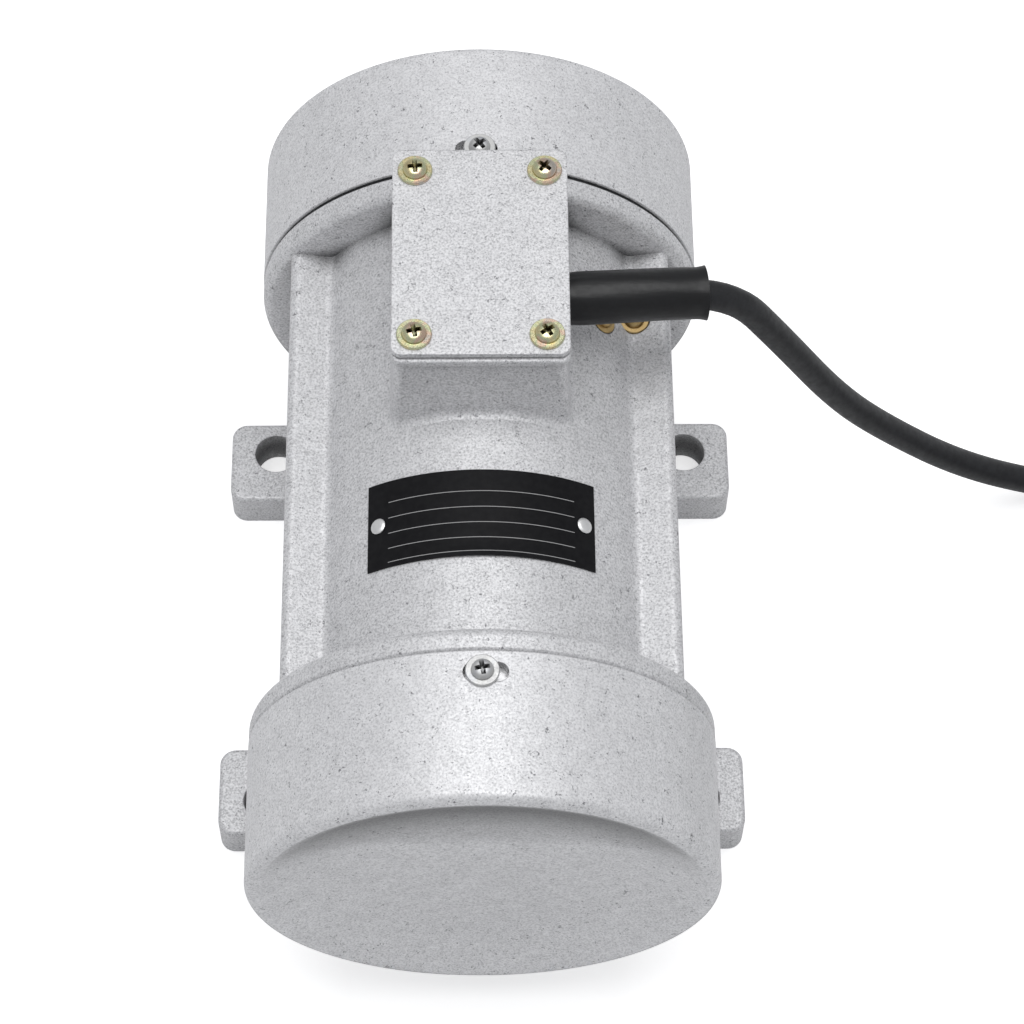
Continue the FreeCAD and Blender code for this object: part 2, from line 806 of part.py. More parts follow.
sleeve_run = root((d.sleeve_end_x - d.sleeve_start_x) * (d.sleeve_end_x - d.sleeve_start_x)
                  + (sleeve_end_y - sleeve_y) * (sleeve_end_y - sleeve_y)
                  + (d.sleeve_end_rise - d.sleeve_rise) * (d.sleeve_end_rise - d.sleeve_rise))
sleeve_wall_reach = box_half_width - d.box_wall / 2 - d.sleeve_start_x
sleeve_wall_share = sleeve_wall_reach / (d.sleeve_end_x - d.sleeve_start_x)
sleeve_wall_y = sleeve_y + (sleeve_end_y - sleeve_y) * sleeve_wall_share
sleeve_wall_rise = d.sleeve_rise + (d.sleeve_end_rise - d.sleeve_rise) * sleeve_wall_share


def cover_screw_places():
    for hand in (-0.5, 0.5):
        for end in (-0.5, 0.5):
            yield hand * d.cover_screw_across, box_middle + end * d.cover_screw_along


def rivet_places():
    """Points on the outside of the nameplate, with the turn that points outwards."""
    radius = d.barrel_radius + d.plate_thickness
    for hand in (-1, 1):
        x = hand * radius * sine(d.rivet_angle)
        z = d.axis_height + radius * cosine(d.rivet_angle)
        yield x, -d.plate_middle, z, Rotation(Vector(0, 1, 0), hand * d.rivet_angle.value)


def earth_screw_places():
    """One screw stands on the barrel, square to it, the other upright on the right shoulder."""
    radius = d.barrel_radius - d.earth_seat_depth
    yield (radius * sine(d.earth_angle), box_middle + d.earth_screw_offset,
           d.axis_height + radius * cosine(d.earth_angle), Rotation(Vector(0, 1, 0), d.earth_angle.value))
    share = (d.earth_shoulder_x - d.shoulder_inner_reach) / (d.body_half_width - d.shoulder_inner_reach)
    rise = d.shoulder_inner_rise + (d.shoulder_outer_rise - d.shoulder_inner_rise) * share
    yield (d.earth_shoulder_x, box_middle + d.earth_shoulder_offset,
           d.axis_height + rise - d.earth_seat_depth, UPRIGHT)


# ---------------------------------------------------------------- junction box pieces

def make_box_cover():
    half_width, half_length = d.cover_width / 2, d.cover_length / 2
    plate = new_body("junction_box_cover")
    place(plate, 0, cover_middle, d.axis_height + cover_under_rise)
    plan = rectangle(new_sketch(plate, "CoverPlan"), -half_width, -half_length, half_width, half_length,
                     d.cover_corner)
    pad(plate, "Plate", plan, d.cover_thickness)
    gasket = new_body("cover_gasket")
    place(gasket, 0, cover_middle, d.axis_height + rim_top_rise)
    edge = d.box_inset / 2
    plan = rectangle(new_sketch(gasket, "GasketPlan"), edge - half_width, edge - half_length,
                     half_width - edge, half_length - edge, d.cover_corner)
    pad(gasket, "Sheet", plan, d.cover_gasket)
    window = new_sketch(gasket, "WindowPlan")
    outline(window, [(x, y - cover_middle) for x, y in box_cavity_corners()])
    pocket(gasket, "Window", window, d.cover_gasket, backwards=True)
    for body, thickness in ((plate, d.cover_thickness), (gasket, d.cover_gasket)):
        holes = new_sketch(body, "ScrewHolePlan")
        for x, y in cover_screw_places():
            circle(holes, x, y - cover_middle, d.machine_screw_radius + 2 * d.hole_clearance)
        pocket(body, "ScrewHoles", holes, thickness, backwards=True)


def make_washer_screw(label, washer_radius, reach):
    """A pan head formed on a washer; the origin is under the washer and the shank points down."""
    body = new_body(label, keep=False)
    head, top = washer_radius * d.pan_head_ratio, d.washer_thickness + d.pan_head_height
    revolve(body, "Turned", [
        (0, -reach), (d.machine_screw_radius, -reach), (d.machine_screw_radius, 0),
        (washer_radius, 0), (washer_radius, d.washer_thickness), (head, d.washer_thickness),
        (head * 0.8, top - 0.5), (0, top),
    ], domes={6})
    return body


def make_cover_screws():
    screw = make_washer_screw("cover_screw", d.cover_washer_radius, d.cover_screw_reach)
    top = d.axis_height + d.cover_top_rise
    group("cover_screws", screw, [(x, y, top, UPRIGHT) for x, y in cover_screw_places()])


def make_earth_screws():
    screw = make_washer_screw("earth_screw", d.earth_washer_radius, d.earth_screw_reach)
    group("earth_screws", screw, earth_screw_places())


def make_terminal_block():
    block = new_body("terminal_block")
    block_y = box_middle + box_half_length - d.box_wall - d.terminal_gap - d.terminal_depth / 2
    place(block, 0, block_y, d.axis_height + d.box_floor_rise)
    half_width, half_depth = d.terminal_width / 2, d.terminal_depth / 2
    section = outline(new_sketch(block, "Section", "YZ_Plane"), [
        (-half_depth, 0), (half_depth, 0), (half_depth, d.terminal_height * 0.6),
        (half_depth * 0.5, d.terminal_height), (-half_depth * 0.5, d.terminal_height),
        (-half_depth, d.terminal_height * 0.6),
    ])
    pad(block, "Moulding", section, d.terminal_width, midplane=True)
    wells = new_sketch(block, "WellPlan", offset=d.terminal_height)
    ways = new_sketch(block, "WirePlan", "XZ_Plane")
    places = []
    for number in range(int(d.terminal_count.value)):
        x = (number - (d.terminal_count.value - 1) / 2) * d.terminal_pitch
        circle(wells, x, 0, d.terminal_screw_radius + 0.1)
        circle(ways, x, d.terminal_height * 0.3, d.terminal_screw_radius * 0.8)
        places.append((x, block_y, d.axis_height + d.box_floor_rise + d.terminal_height * 0.55, UPRIGHT))
    pocket(block, "Wells", wells, d.terminal_height * 0.45)
    pocket(block, "WireWays", ways, d.terminal_depth + 2, midplane=True)
    screw = new_body("terminal_screw", keep=False)
    plan = circle(new_sketch(screw, "Plan"), 0, 0, d.terminal_screw_radius)
    pad(screw, "Barrel", plan, d.terminal_height * 0.35)
    slot = rectangle(new_sketch(screw, "SlotPlan", offset=d.terminal_height * 0.35),
                     -d.terminal_screw_radius * 1.2, -0.35, d.terminal_screw_radius * 1.2, 0.35)
    pocket(screw, "DriverSlot", slot, 1.0)
    group("terminal_screws", screw, places)


def make_capacitor():
    body = new_body("run_capacitor")
    half_width, half_length = d.capacitor_width / 2, d.capacitor_length / 2
    beside_wall = half_width + d.capacitor_gap + d.box_wall - box_half_width
    place(body, beside_wall, box_middle - d.capacitor_offset, d.axis_height + d.box_floor_rise)
    plan = rectangle(new_sketch(body, "Plan"), -half_width, -half_length, half_width, half_length,
                     d.capacitor_round)
    pad(body, "Block", plan, d.capacitor_height)
    tabs = new_sketch(body, "TabPlan", offset=d.capacitor_height)
    for end in (-1, 1):
        middle = end * half_length * 0.5
        rectangle(tabs, -3.2, middle - 0.4, 3.2, middle + 0.4)
    pad(body, "Tabs", tabs, 3.0)


def make_sleeve():
    """A rubber sleeve that holds the cord; its collar sits behind the box wall."""
    body = new_body("cable_sleeve")
    bore = d.cord_radius + d.cord_fit
    revolve(body, "Moulded", [
        (bore, 0), (d.collar_radius, 0), (d.collar_radius, d.collar_length),
        (d.sleeve_radius, d.collar_length), (d.sleeve_end_radius, sleeve_run - d.sleeve_flare),
        (d.sleeve_end_radius + d.sleeve_lip, sleeve_run), (d.mouth_radius, sleeve_run),
        (bore, sleeve_run - d.mouth_depth),
    ])
    place(body, d.sleeve_start_x, sleeve_y, d.axis_height + d.sleeve_rise, sleeve_turn())


def sleeve_turn():
    along = Vector((d.sleeve_end_x - d.sleeve_start_x).value, (sleeve_end_y - sleeve_y).value,
                   (d.sleeve_end_rise - d.sleeve_rise).value)
    return Rotation(Vector(0, 0, 1), along)


def make_nameplate():
    body = new_body("nameplate")
    place_on_axis(body)
    inner, outer = d.barrel_radius + 0.02, d.barrel_radius + d.plate_thickness
    low, high = d.plate_middle - d.plate_height / 2, d.plate_middle + d.plate_height / 2
    sketch = outline(new_sketch(body, "PlateProfile", "YZ_Plane"),
                     [(inner, low), (outer, low), (outer, high), (inner, high)])
    turn_about(body, "Plate", "Revolution", sketch, angle=d.plate_half_angle * 2)
    for number, hand in enumerate((-1, 1), start=1):
        turn = Rotation(Vector(0, 0, 1), hand * d.rivet_angle.value) * Rotation(Vector(1, 0, 0), -90)
        drill(body, f"RivetHole{number}", 0, 0, d.plate_middle, turn,
              d.rivet_shank_radius + d.hole_clearance, d.barrel_radius + 5)
    rivet = new_body("nameplate_rivet", keep=False)
    head = d.rivet_head_height
    revolve(rivet, "Turned", [
        (0, -d.rivet_reach), (d.rivet_shank_radius, -d.rivet_reach),
        (d.rivet_shank_radius, d.rivet_seat_gap), (d.rivet_head_radius, d.rivet_seat_gap),
        (d.rivet_head_radius, head * 0.4), (0, head),
    ], domes={4})
    group("nameplate_rivets", rivet, rivet_places())


# ---------------------------------------------------------------- ends: caps and bearing shields

def make_cap(side, seal):
    """A deep cast cup whose closed end is dished inside a rounded crest."""
    body = new_body(f"{side}_cap")
    place_at_end(body, side)
    end, inside = d.cap_length, d.cap_length - d.cap_wall
    revolve(body, "Cup", [
        (0, inside - d.dish_depth), (d.dish_floor_radius, inside - d.dish_depth, d.dish_round),
        (d.dish_radius, inside), (cap_inner, inside), (cap_inner, seal), (d.cap_radius, seal),
        (d.cap_radius, end, d.cap_edge_round), (d.dish_radius, end, d.crest_round),
        (d.dish_floor_radius, end - d.dish_depth, d.dish_round), (0, end - d.dish_depth),
    ])
    sketch = new_sketch(body, "SlotShape", "XZ_Plane")
    stadium(sketch, d.slot_offset, d.cap_screw_place, d.slot_length, d.slot_width)
    slot = pocket(body, "ScrewSlot", sketch)
    polar(body, "ScrewSlots", [slot], d.cap_screw_count)


def make_seal(side, seal):
    body = new_body(f"{side}_cap_seal")
    place_at_end(body, side)
    revolve(body, "Ring", [(cap_inner, 0), (cap_inner + d.seal_width, 0), (cap_inner + d.seal_width, seal),
                           (cap_inner, seal)])


def around(count, radius, along, start=0.0):
    """Places on a circle in an end's own frame, each with its Z axis pointing outwards."""
    for number in range(int(count.value)):
        angle = start + number * 360 / count.value
        x = radius * math.sin(math.radians(angle))
        y = radius * math.cos(math.radians(angle))
        yield x, y, along, Rotation(Vector(0, 0, 1), -angle) * Rotation(Vector(1, 0, 0), -90)


def bearing_seat_end(side):
    """The front bearing stands against its hub's end wall, the rear one against a spring washer."""
    end = d.bearing_width - d.bearing_inboard
    return end + d.spring_washer_height if side == "rear" else end


def make_shield(side):
    """The bearing shield: a rim that centres the cap, a ribbed web, a spigot and a bearing hub."""
    body = new_body(f"{side}_bearing_shield")
    place_at_end(body, side)
    seat, spigot = d.bearing_outer_radius + d.seat_fit, d.bore_radius - d.seat_fit
    seat_end = bearing_seat_end(side)
    hub_end = seat_end + d.hub_end_wall
    shaft_hole = d.weight_seat_radius + d.shaft_gap
    revolve(body, "Casting", [
        (seat, -d.bearing_inboard), (d.hub_radius, -d.bearing_inboard), (d.hub_radius, 0),
        (d.spigot_inner, 0), (d.spigot_inner, -d.spigot_length), (spigot, -d.spigot_length),
        (spigot, 0), (shield_radius, 0), (shield_radius, d.shield_rim_length),
        (d.shield_rim_inner, d.shield_rim_length), (d.shield_rim_inner, d.shield_web),
        (d.hub_radius, d.shield_web), (d.hub_radius, hub_end), (shaft_hole, hub_end),
        (shaft_hole, seat_end), (seat, seat_end),
    ])
    rib = new_sketch(body, "RibShape", offset=d.shield_web)
    half = d.rib_thickness / 2
    rectangle(rib, -half, -d.shield_rim_inner - 1, half, 1 - d.hub_radius)
    polar(body, "Ribs", [pad(body, "Rib", rib, d.rib_height)], d.rib_count)
    heads = new_sketch(body, "ScrewPlan", offset=d.shield_rim_length)
    shanks = new_sketch(body, "ShankPlan", offset=d.shield_rim_length)
    for x, y, _, _ in around(d.shield_screw_count, d.shield_screw_circle, 0, 45):
        circle(heads, x, y, d.shield_head_radius + 0.2)
        circle(shanks, x, y, d.shield_screw_radius + 0.1)
    pocket(body, "HeadWells", heads, d.shield_head_height)
    pocket(body, "ShankHoles", shanks, d.shield_rim_length)
    tapped = new_sketch(body, "TappedPlan", "XZ_Plane", offset=0 - d.shield_rim_inner + 1)
    circle(tapped, 0, d.cap_screw_place, d.machine_screw_radius + d.hole_clearance)
    polar(body, "TappedHoles", [pocket(body, "TappedHole", tapped)], d.cap_screw_count)


def make_end_screws(side, cap_screw, shield_screw):
    group(f"{side}_cap_screws", cap_screw,
          around(d.cap_screw_count, d.cap_radius + 0.05, d.cap_screw_place), side)
    seat = d.shield_rim_length - d.shield_head_height
    places = [(x, y, seat, UPRIGHT) for x, y, _, _ in
              around(d.shield_screw_count, d.shield_screw_circle, 0, 45)]
    group(f"{side}_shield_screws", shield_screw, places, side)


def make_socket_screw(label, head_radius, head_height, shank_radius, reach):
    body = new_body(label, keep=False)
    socket = head_radius * d.socket_ratio
    revolve(body, "Turned", [
        (0, -reach), (shank_radius, -reach), (shank_radius, 0), (head_radius, 0),
        (head_radius, head_height - 0.4), (head_radius - 0.4, head_height), (0, head_height),
    ])
    plan = new_sketch(body, "SocketPlan", offset=head_height)
    corners = []
    for number in range(6):
        angle = math.radians(30 + 60 * number)
        corners.append((socket * math.cos(angle), socket * math.sin(angle)))
    outline(plan, corners)
    pocket(body, "Socket", plan, head_height * 0.5)
    return body


# ---------------------------------------------------------------- ball bearings

def make_bearing(side):
    """Rings, balls and cage of a deep-groove ball bearing; each is a piece of its own."""
    middle = d.bearing_width / 2 - d.bearing_inboard
    half = d.bearing_width / 2
    rings = {
        "inner_ring": (d.bearing_bore_radius, d.inner_ring_edge),
        "outer_ring": (d.outer_ring_edge, d.bearing_outer_radius),
    }
    for name, (inner, outer) in rings.items():
        ring = new_body(f"{side}_bearing_{name}")
        place_at_end(ring, side)
        bore_round = d.ring_round if name == "inner_ring" else 0
        rim_round = d.ring_round if name == "outer_ring" else 0
        revolve(ring, "Ring", [
            (inner, middle - half, bore_round), (outer, middle - half, rim_round),
            (outer, middle + half, rim_round), (inner, middle + half, bore_round),
        ])
        track = circle(new_sketch(ring, "TrackShape", "XZ_Plane"), d.pitch_radius, middle,
                       d.ball_radius + d.ball_clearance)
        turn_about(ring, "BallTrack", "Groove", track)
    cage = new_body(f"{side}_bearing_cage")
    place_at_end(cage, side)
    inner, outer = d.pitch_radius - d.cage_wall / 2, d.pitch_radius + d.cage_wall / 2
    half = d.cage_width / 2
    revolve(cage, "Band", [(inner, middle - half), (outer, middle - half), (outer, middle + half),
                           (inner, middle + half)])
    window = circle(new_sketch(cage, "PocketShape", "XZ_Plane"), 0, middle,
                    d.ball_radius + d.pocket_clearance)
    polar(cage, "Pockets", [pocket(cage, "Pocket", window)], d.ball_count)
    ball = new_body(f"{side}_ball", keep=False)
    sketch = new_sketch(ball, "Half", "XZ_Plane")
    half_circle(sketch, d.ball_radius)
    turn_about(ball, "Ball", "Revolution", sketch)
    group(f"{side}_bearing_balls", ball, around(d.ball_count, d.pitch_radius, middle), side)


def half_circle(sketch, radius):
    centre, top = Vector(0, 0), Vector(0, radius.value)
    arc = sketch.addGeometry(arc_between(centre, radius.value, -top, top, True)[0], False)
    line = sketch.addGeometry(Part.LineSegment(top, -top), False)
    sketch.addConstraint(Sketcher.Constraint("Coincident", arc, 2, line, 1))
    sketch.addConstraint(Sketcher.Constraint("Coincident", arc, 1, line, 2))
    sketch.addConstraint(Sketcher.Constraint("Coincident", arc, 3, -1, 1))
    sketch.addConstraint(Sketcher.Constraint("PointOnObject", arc, 1, -2))
    sketch.addConstraint(Sketcher.Constraint("PointOnObject", arc, 2, -2))
    tie(sketch, "Radius", arc, radius)


# ---------------------------------------------------------------- shaft, rotor and stator

def make_shaft():
    """A stepped shaft: rotor seat, bearing journals, and weight seats with keyways at both ends."""
    body = new_body("shaft")
    place_on_axis(body)
    end = joint + d.shaft_end_place
    journal = joint - d.bearing_inboard
    weights = journal + d.bearing_width
    clip = joint + circlip_place
    clip_end = clip + d.circlip_width
    seat, floor = d.weight_seat_radius, d.weight_seat_radius - d.circlip_depth
    journal_radius = d.bearing_bore_radius - d.seat_fit
    half_side = [
        (d.rotor_seat_radius, journal), (journal_radius, journal),
        (journal_radius, weights), (seat, weights), (seat, clip), (floor, clip),
        (floor, clip_end), (seat, clip_end), (seat, end - d.shaft_chamfer),
        (seat - d.shaft_chamfer, end),
    ]
    corners = [(0, -end)] + [(r, -z) for r, z in reversed(half_side)]
    corners += half_side + [(0, end)]
    revolve(body, "Turned", corners)
    for number, end_sign in enumerate((-1, 1), start=1):
        sketch = new_sketch(body, f"KeywayShape{number}", "XZ_Plane", offset=seat - d.key_depth)
        start = joint + d.weight_first_place
        low, high = start, start + d.weight_thickness
        if end_sign < 0:
            low, high = -high, -low
        rectangle(sketch, -d.key_width / 2, low, d.key_width / 2, high)
        pocket(body, f"Keyway{number}", sketch, backwards=True)


def make_rotor():
    core = new_body("rotor_core")
    place_on_axis(core)
    stack = new_sketch(core, "StackPlan")
    circle(stack, 0, 0, rotor_radius)
    circle(stack, 0, 0, d.rotor_seat_radius + d.seat_fit)
    pad(core, "Stack", stack, d.core_length, midplane=True)
    hole = circle(new_sketch(core, "BarHolePlan"), 0, d.bar_circle, d.bar_radius)
    polar(core, "BarHoles", [pocket(core, "BarHole", hole, d.core_length + 2, midplane=True)], d.bar_count)
    cage = new_body("rotor_cage")
    place_on_axis(cage)
    half, ring_end = core_half, core_half + d.end_ring_length
    outer, inner = rotor_radius - d.end_ring_step, d.end_ring_inner
    for name, sign in (("FrontRing", 1), ("RearRing", -1)):
        revolve(cage, name, [
            (inner, sign * half), (outer, sign * half), (outer, sign * ring_end), (inner, sign * ring_end),
        ])
        vane = new_sketch(cage, name + "VanePlan", offset=sign * ring_end)
        side = d.vane_thickness / 2
        rectangle(vane, -side, inner + d.vane_inset, side, outer - d.vane_inset)
        vane_pad = pad(cage, name + "Vane", vane, d.vane_length, backwards=sign < 0)
        polar(cage, name + "Vanes", [vane_pad], d.vane_count)
    bar = circle(new_sketch(cage, "BarPlan"), 0, d.bar_circle, d.bar_radius)
    polar(cage, "Bars", [pad(cage, "Bar", bar, d.core_length + 1, midplane=True)], d.bar_count)


def slot_outline(sketch, shrink, mouth):
    """One stator slot, pointing up: a narrow mouth at the bore, then widening to its root."""
    lip = d.stator_inner_radius + d.slot_lip
    top, bottom = d.slot_top_width / 2 - shrink, d.slot_bottom_width / 2 - shrink
    shoulder, root_rise, corner = lip + d.slot_neck + shrink, d.slot_bottom_radius - shrink, d.slot_corner
    corners = [(top, shoulder), (bottom, root_rise, corner), (-bottom, root_rise, corner), (-top, shoulder)]
    if mouth:
        opening, below = d.slot_mouth / 2, d.stator_inner_radius - 1
        corners += [(-opening, lip), (-opening, below), (opening, below), (opening, lip)]
    return outline(sketch, corners)


def make_stator():
    core = new_body("stator_core")
    place_on_axis(core)
    stack = new_sketch(core, "StackPlan")
    circle(stack, 0, 0, d.bore_radius - d.seat_fit)
    circle(stack, 0, 0, d.stator_inner_radius)
    pad(core, "Stack", stack, d.core_length, midplane=True)
    slot = slot_outline(new_sketch(core, "SlotPlan"), as_size(0), True)
    polar(core, "Slots", [pocket(core, "Slot", slot, d.core_length + 2, midplane=True)], d.slot_count)
    winding = new_body("stator_windings")
    place_on_axis(winding)
    start, end = core_half + d.coil_gap, core_half + d.coil_reach
    for name, sign in (("FrontCoil", 1), ("RearCoil", -1)):
        revolve(winding, name, [
            (d.coil_inner_radius, sign * start), (d.coil_outer_radius - d.coil_taper, sign * start),
            (d.coil_outer_radius, sign * (start + d.coil_taper)),
            (d.coil_outer_radius, sign * end, d.coil_round),
            (d.coil_inner_radius, sign * end, d.coil_round),
        ])
    wires = slot_outline(new_sketch(winding, "WirePlan"), d.wire_clearance, False)
    wire = pad(winding, "SlotWire", wires, d.core_length + 2 * d.wire_reach, midplane=True)
    polar(winding, "SlotWires", [wire], d.slot_count)


# ---------------------------------------------------------------- eccentric weights

def make_weight(side, name, start, keyed):
    """A half disc with a split hub that a cross bolt clamps on the shaft."""
    body = new_body(f"{side}_{name}_weight")
    place_at_end(body, side)
    disc = circle(new_sketch(body, "DiscPlan", offset=start), 0, 0, d.weight_radius)
    pad(body, "Disc", disc, d.weight_thickness)
    cut = new_sketch(body, "CutPlan", offset=start + d.weight_thickness)
    hub, rise, out = d.weight_hub_half_width, d.weight_hub_rise, d.weight_radius + 1
    outline(cut, [
        (-out, 0), (-hub, 0, d.weight_corner), (-hub, rise, d.weight_corner), (hub, rise, d.weight_corner),
        (hub, 0, d.weight_corner), (out, 0), (out, out), (-out, out),
    ])
    pocket(body, "UpperCut", cut, d.weight_thickness)
    bore = circle(new_sketch(body, "BorePlan", offset=start + d.weight_thickness), 0, 0,
                  d.weight_seat_radius + d.weight_fit)
    pocket(body, "Bore", bore, d.weight_thickness)
    slit = new_sketch(body, "SlitPlan", offset=start + d.weight_thickness)
    half_slit = d.clamp_slit / 2
    rectangle(slit, -half_slit, 0, half_slit, rise + 1)
    pocket(body, "Slit", slit, d.weight_thickness)
    middle = start + d.weight_thickness / 2
    across = Rotation(Vector(0, 1, 0), 90)
    drill(body, "BoltHole", -hub - 1, d.clamp_bolt_rise, middle, across,
          d.clamp_bolt_radius + 0.1, hub * 2 + 2)
    seat = hub - d.clamp_head_height
    drill(body, "HeadWell", seat, d.clamp_bolt_rise, middle, across, d.clamp_head_radius + 0.2,
          d.clamp_head_height + 1)
    if keyed:
        slot = new_sketch(body, "KeySlotPlan", offset=start + d.weight_thickness)
        half_key = d.key_width / 2 + d.weight_fit
        key_top = d.weight_seat_radius - d.key_depth + d.key_height + d.weight_fit
        rectangle(slot, -half_key, -key_top, half_key, -d.weight_seat_radius / 2)
        pocket(body, "KeySlot", slot, d.weight_thickness)
    return seat, middle


def make_weights(side, bolt):
    places = {"fixed": d.weight_first_place, "adjustable": weight_second_place}
    for name, start in places.items():
        seat, middle = make_weight(side, name, start, keyed=name == "fixed")
        across = Rotation(Vector(0, 1, 0), 90)
        group(f"{side}_{name}_weight_bolt", bolt, [(seat, d.clamp_bolt_rise, middle, across)], side)
    key = new_body(f"{side}_key")
    place_at_end(key, side)
    half = d.key_width / 2
    foot = d.weight_seat_radius - d.key_depth
    plan = rectangle(new_sketch(key, "KeyPlan", offset=d.weight_first_place), -half, -foot - d.key_height,
                     half, -foot, 0.5)
    pad(key, "Key", plan, d.weight_thickness)


def make_circlip(side):
    body = new_body(f"{side}_circlip")
    place_at_end(body, side)
    inner = d.weight_seat_radius - d.circlip_depth
    plan = new_sketch(body, "RingPlan", offset=circlip_place)
    circle(plan, 0, 0, inner + d.circlip_height)
    circle(plan, 0, 0, inner)
    pad(body, "Ring", plan, d.circlip_width)
    gap = new_sketch(body, "GapPlan", offset=circlip_place)
    rectangle(gap, -inner * 0.5, inner * 0.5, inner * 0.5, inner + d.circlip_height + 1)
    pocket(body, "Gap", gap, d.circlip_width, backwards=True)


def make_spring_washer():
    body = new_body("bearing_spring_washer")
    place_at_end(body, "rear")
    plan = new_sketch(body, "RingPlan", offset=d.bearing_width - d.bearing_inboard)
    circle(plan, 0, 0, d.bearing_outer_radius - d.ring_round)
    circle(plan, 0, 0, d.bearing_outer_radius - d.ring_round - d.spring_washer_wall)
    pad(body, "Ring", plan, d.spring_washer_height)


# ---------------------------------------------------------------- cord, coil and plug

# corners of the cord's route from inside the sleeve down to the surface that the motor stands on
CORD_ROUTE = [
    (40.0, 38.62, 149.88), (74.3, 41.7, 147.96), (91.9, 43.3, 118.0), (111.2, 45.2, 82.9),
    (128.0, 47.1, 60.2), (158.5, 50.4, 28.1), (190.0, 53.0, 9.3), (212.0, 54.0, 4.6), (234.0, 54.0, 4.6),
]
# corners of its route from the coil to the plug that lies beside it
TAIL_ROUTE = [
    (320.5, -32.5, 13.7), (320.5, -60.5, 13.7), (307.4, -85.2, 12.9), (284.2, -100.9, 12.1),
    (256.4, -103.8, 12.1),
]
COIL_CENTRE = (266.0, -0.5)
TURN_SHARE = 0.45


def tube_path(name, corners):
    """Straight runs joined by tangent arcs, each as large as its two runs allow."""
    points = [Vector(*corner) for corner in corners]
    edges, last, length = [], points[0], 0.0
    for before, corner, after in zip(points, points[1:], points[2:]):
        arriving, leaving = corner - before, after - corner
        turn = arriving.getAngle(leaving)
        reach = TURN_SHARE * min(arriving.Length, leaving.Length)
        radius = reach / math.tan(turn / 2)
        arriving.normalize()
        leaving.normalize()
        start, end = corner - arriving * reach, corner + leaving * reach
        inward = (leaving - arriving).normalize()
        middle = corner + inward * radius * (1 / math.cos(turn / 2) - 1)
        edges.append(Part.LineSegment(last, start).toShape())
        edges.append(Part.Arc(start, middle, end).toShape())
        last = end
        print(f"{name}: turn {math.degrees(turn):.1f} degrees, radius {radius:.1f}")
    edges.append(Part.LineSegment(last, points[-1]).toShape())
    path = doc.addObject("Part::Feature", name + "_path")
    path.Shape = Part.Wire(edges)
    return path


def make_tube(label, corners):
    path = tube_path(label, corners)
    section = doc.addObject("Part::Circle", label + "_section")
    bind(section, Radius=d.cord_radius)
    start, ahead = Vector(*corners[0]), Vector(*corners[1])
    section.Placement = Placement(start, Rotation(Vector(0, 0, 1), ahead - start))
    tube = doc.addObject("Part::Sweep", label)
    tube.Sections = [section]
    tube.Spine = (path, [f"Edge{number + 1}" for number in range(len(path.Shape.Edges))])
    tube.Solid = True
    keep_part(label, tube)
    doc.recompute()
    length = path.Shape.Length
    filled = tube.Shape.Volume / (math.pi * d.cord_radius.value ** 2 * length)
    print(f"{label}: length {length:.0f}, volume {filled:.4f} of its section's sweep")


def make_lead_in():
    """The straight end of the cord, from inside the junction box to where its route begins."""
    body = new_body("cord_lead_in")
    place(body, d.sleeve_start_x, sleeve_y, d.axis_height + d.sleeve_rise, sleeve_turn())
    run = math.dist(Vector(*CORD_ROUTE[0]), body.Placement.Base)
    section = circle(new_sketch(body, "Section", offset=-d.lead_in_reach), 0, 0, d.cord_radius)
    pad(body, "Sheath", section, run + d.lead_in_reach)


def make_coil():
    """The put-away length: four turns, two beside each other and two on top, as one outer shape."""
    body = new_body("cord_coil")
    x, y = COIL_CENTRE
    size = d.cord_radius * 2
    low = CORD_ROUTE[-1][2] - d.cord_radius
    inner, outer = d.coil_turn_radius - size, d.coil_turn_radius + size
    place(body, x, y, 0)
    revolve(body, "Turns", [
        (inner, low, d.cord_radius * 0.8), (outer, low, d.cord_radius * 0.8),
        (outer, low + size * 2, d.cord_radius * 0.8), (inner, low + size * 2, d.cord_radius * 0.8),
    ])
    outer_turn = d.coil_turn_radius + d.cord_radius
    end_radius = d.cord_radius - 0.15
    entry = circle(new_sketch(body, "EntrySection", "YZ_Plane", CORD_ROUTE[-1][0] - x), outer_turn,
                   CORD_ROUTE[-1][2], end_radius)
    pad(body, "Entry", entry, x - CORD_ROUTE[-1][0])
    leaving = circle(new_sketch(body, "ExitSection", "XZ_Plane", y - TAIL_ROUTE[0][1]), outer_turn,
                     TAIL_ROUTE[0][2], end_radius)
    pad(body, "Exit", leaving, y - TAIL_ROUTE[0][1], backwards=True)


def plug_turn():
    along = Vector(*TAIL_ROUTE[-1]) - Vector(*TAIL_ROUTE[-2])
    return Rotation(along.normalize(), Vector(0, 0, 1).cross(along), Vector(0, 0, 1), "XYZ")


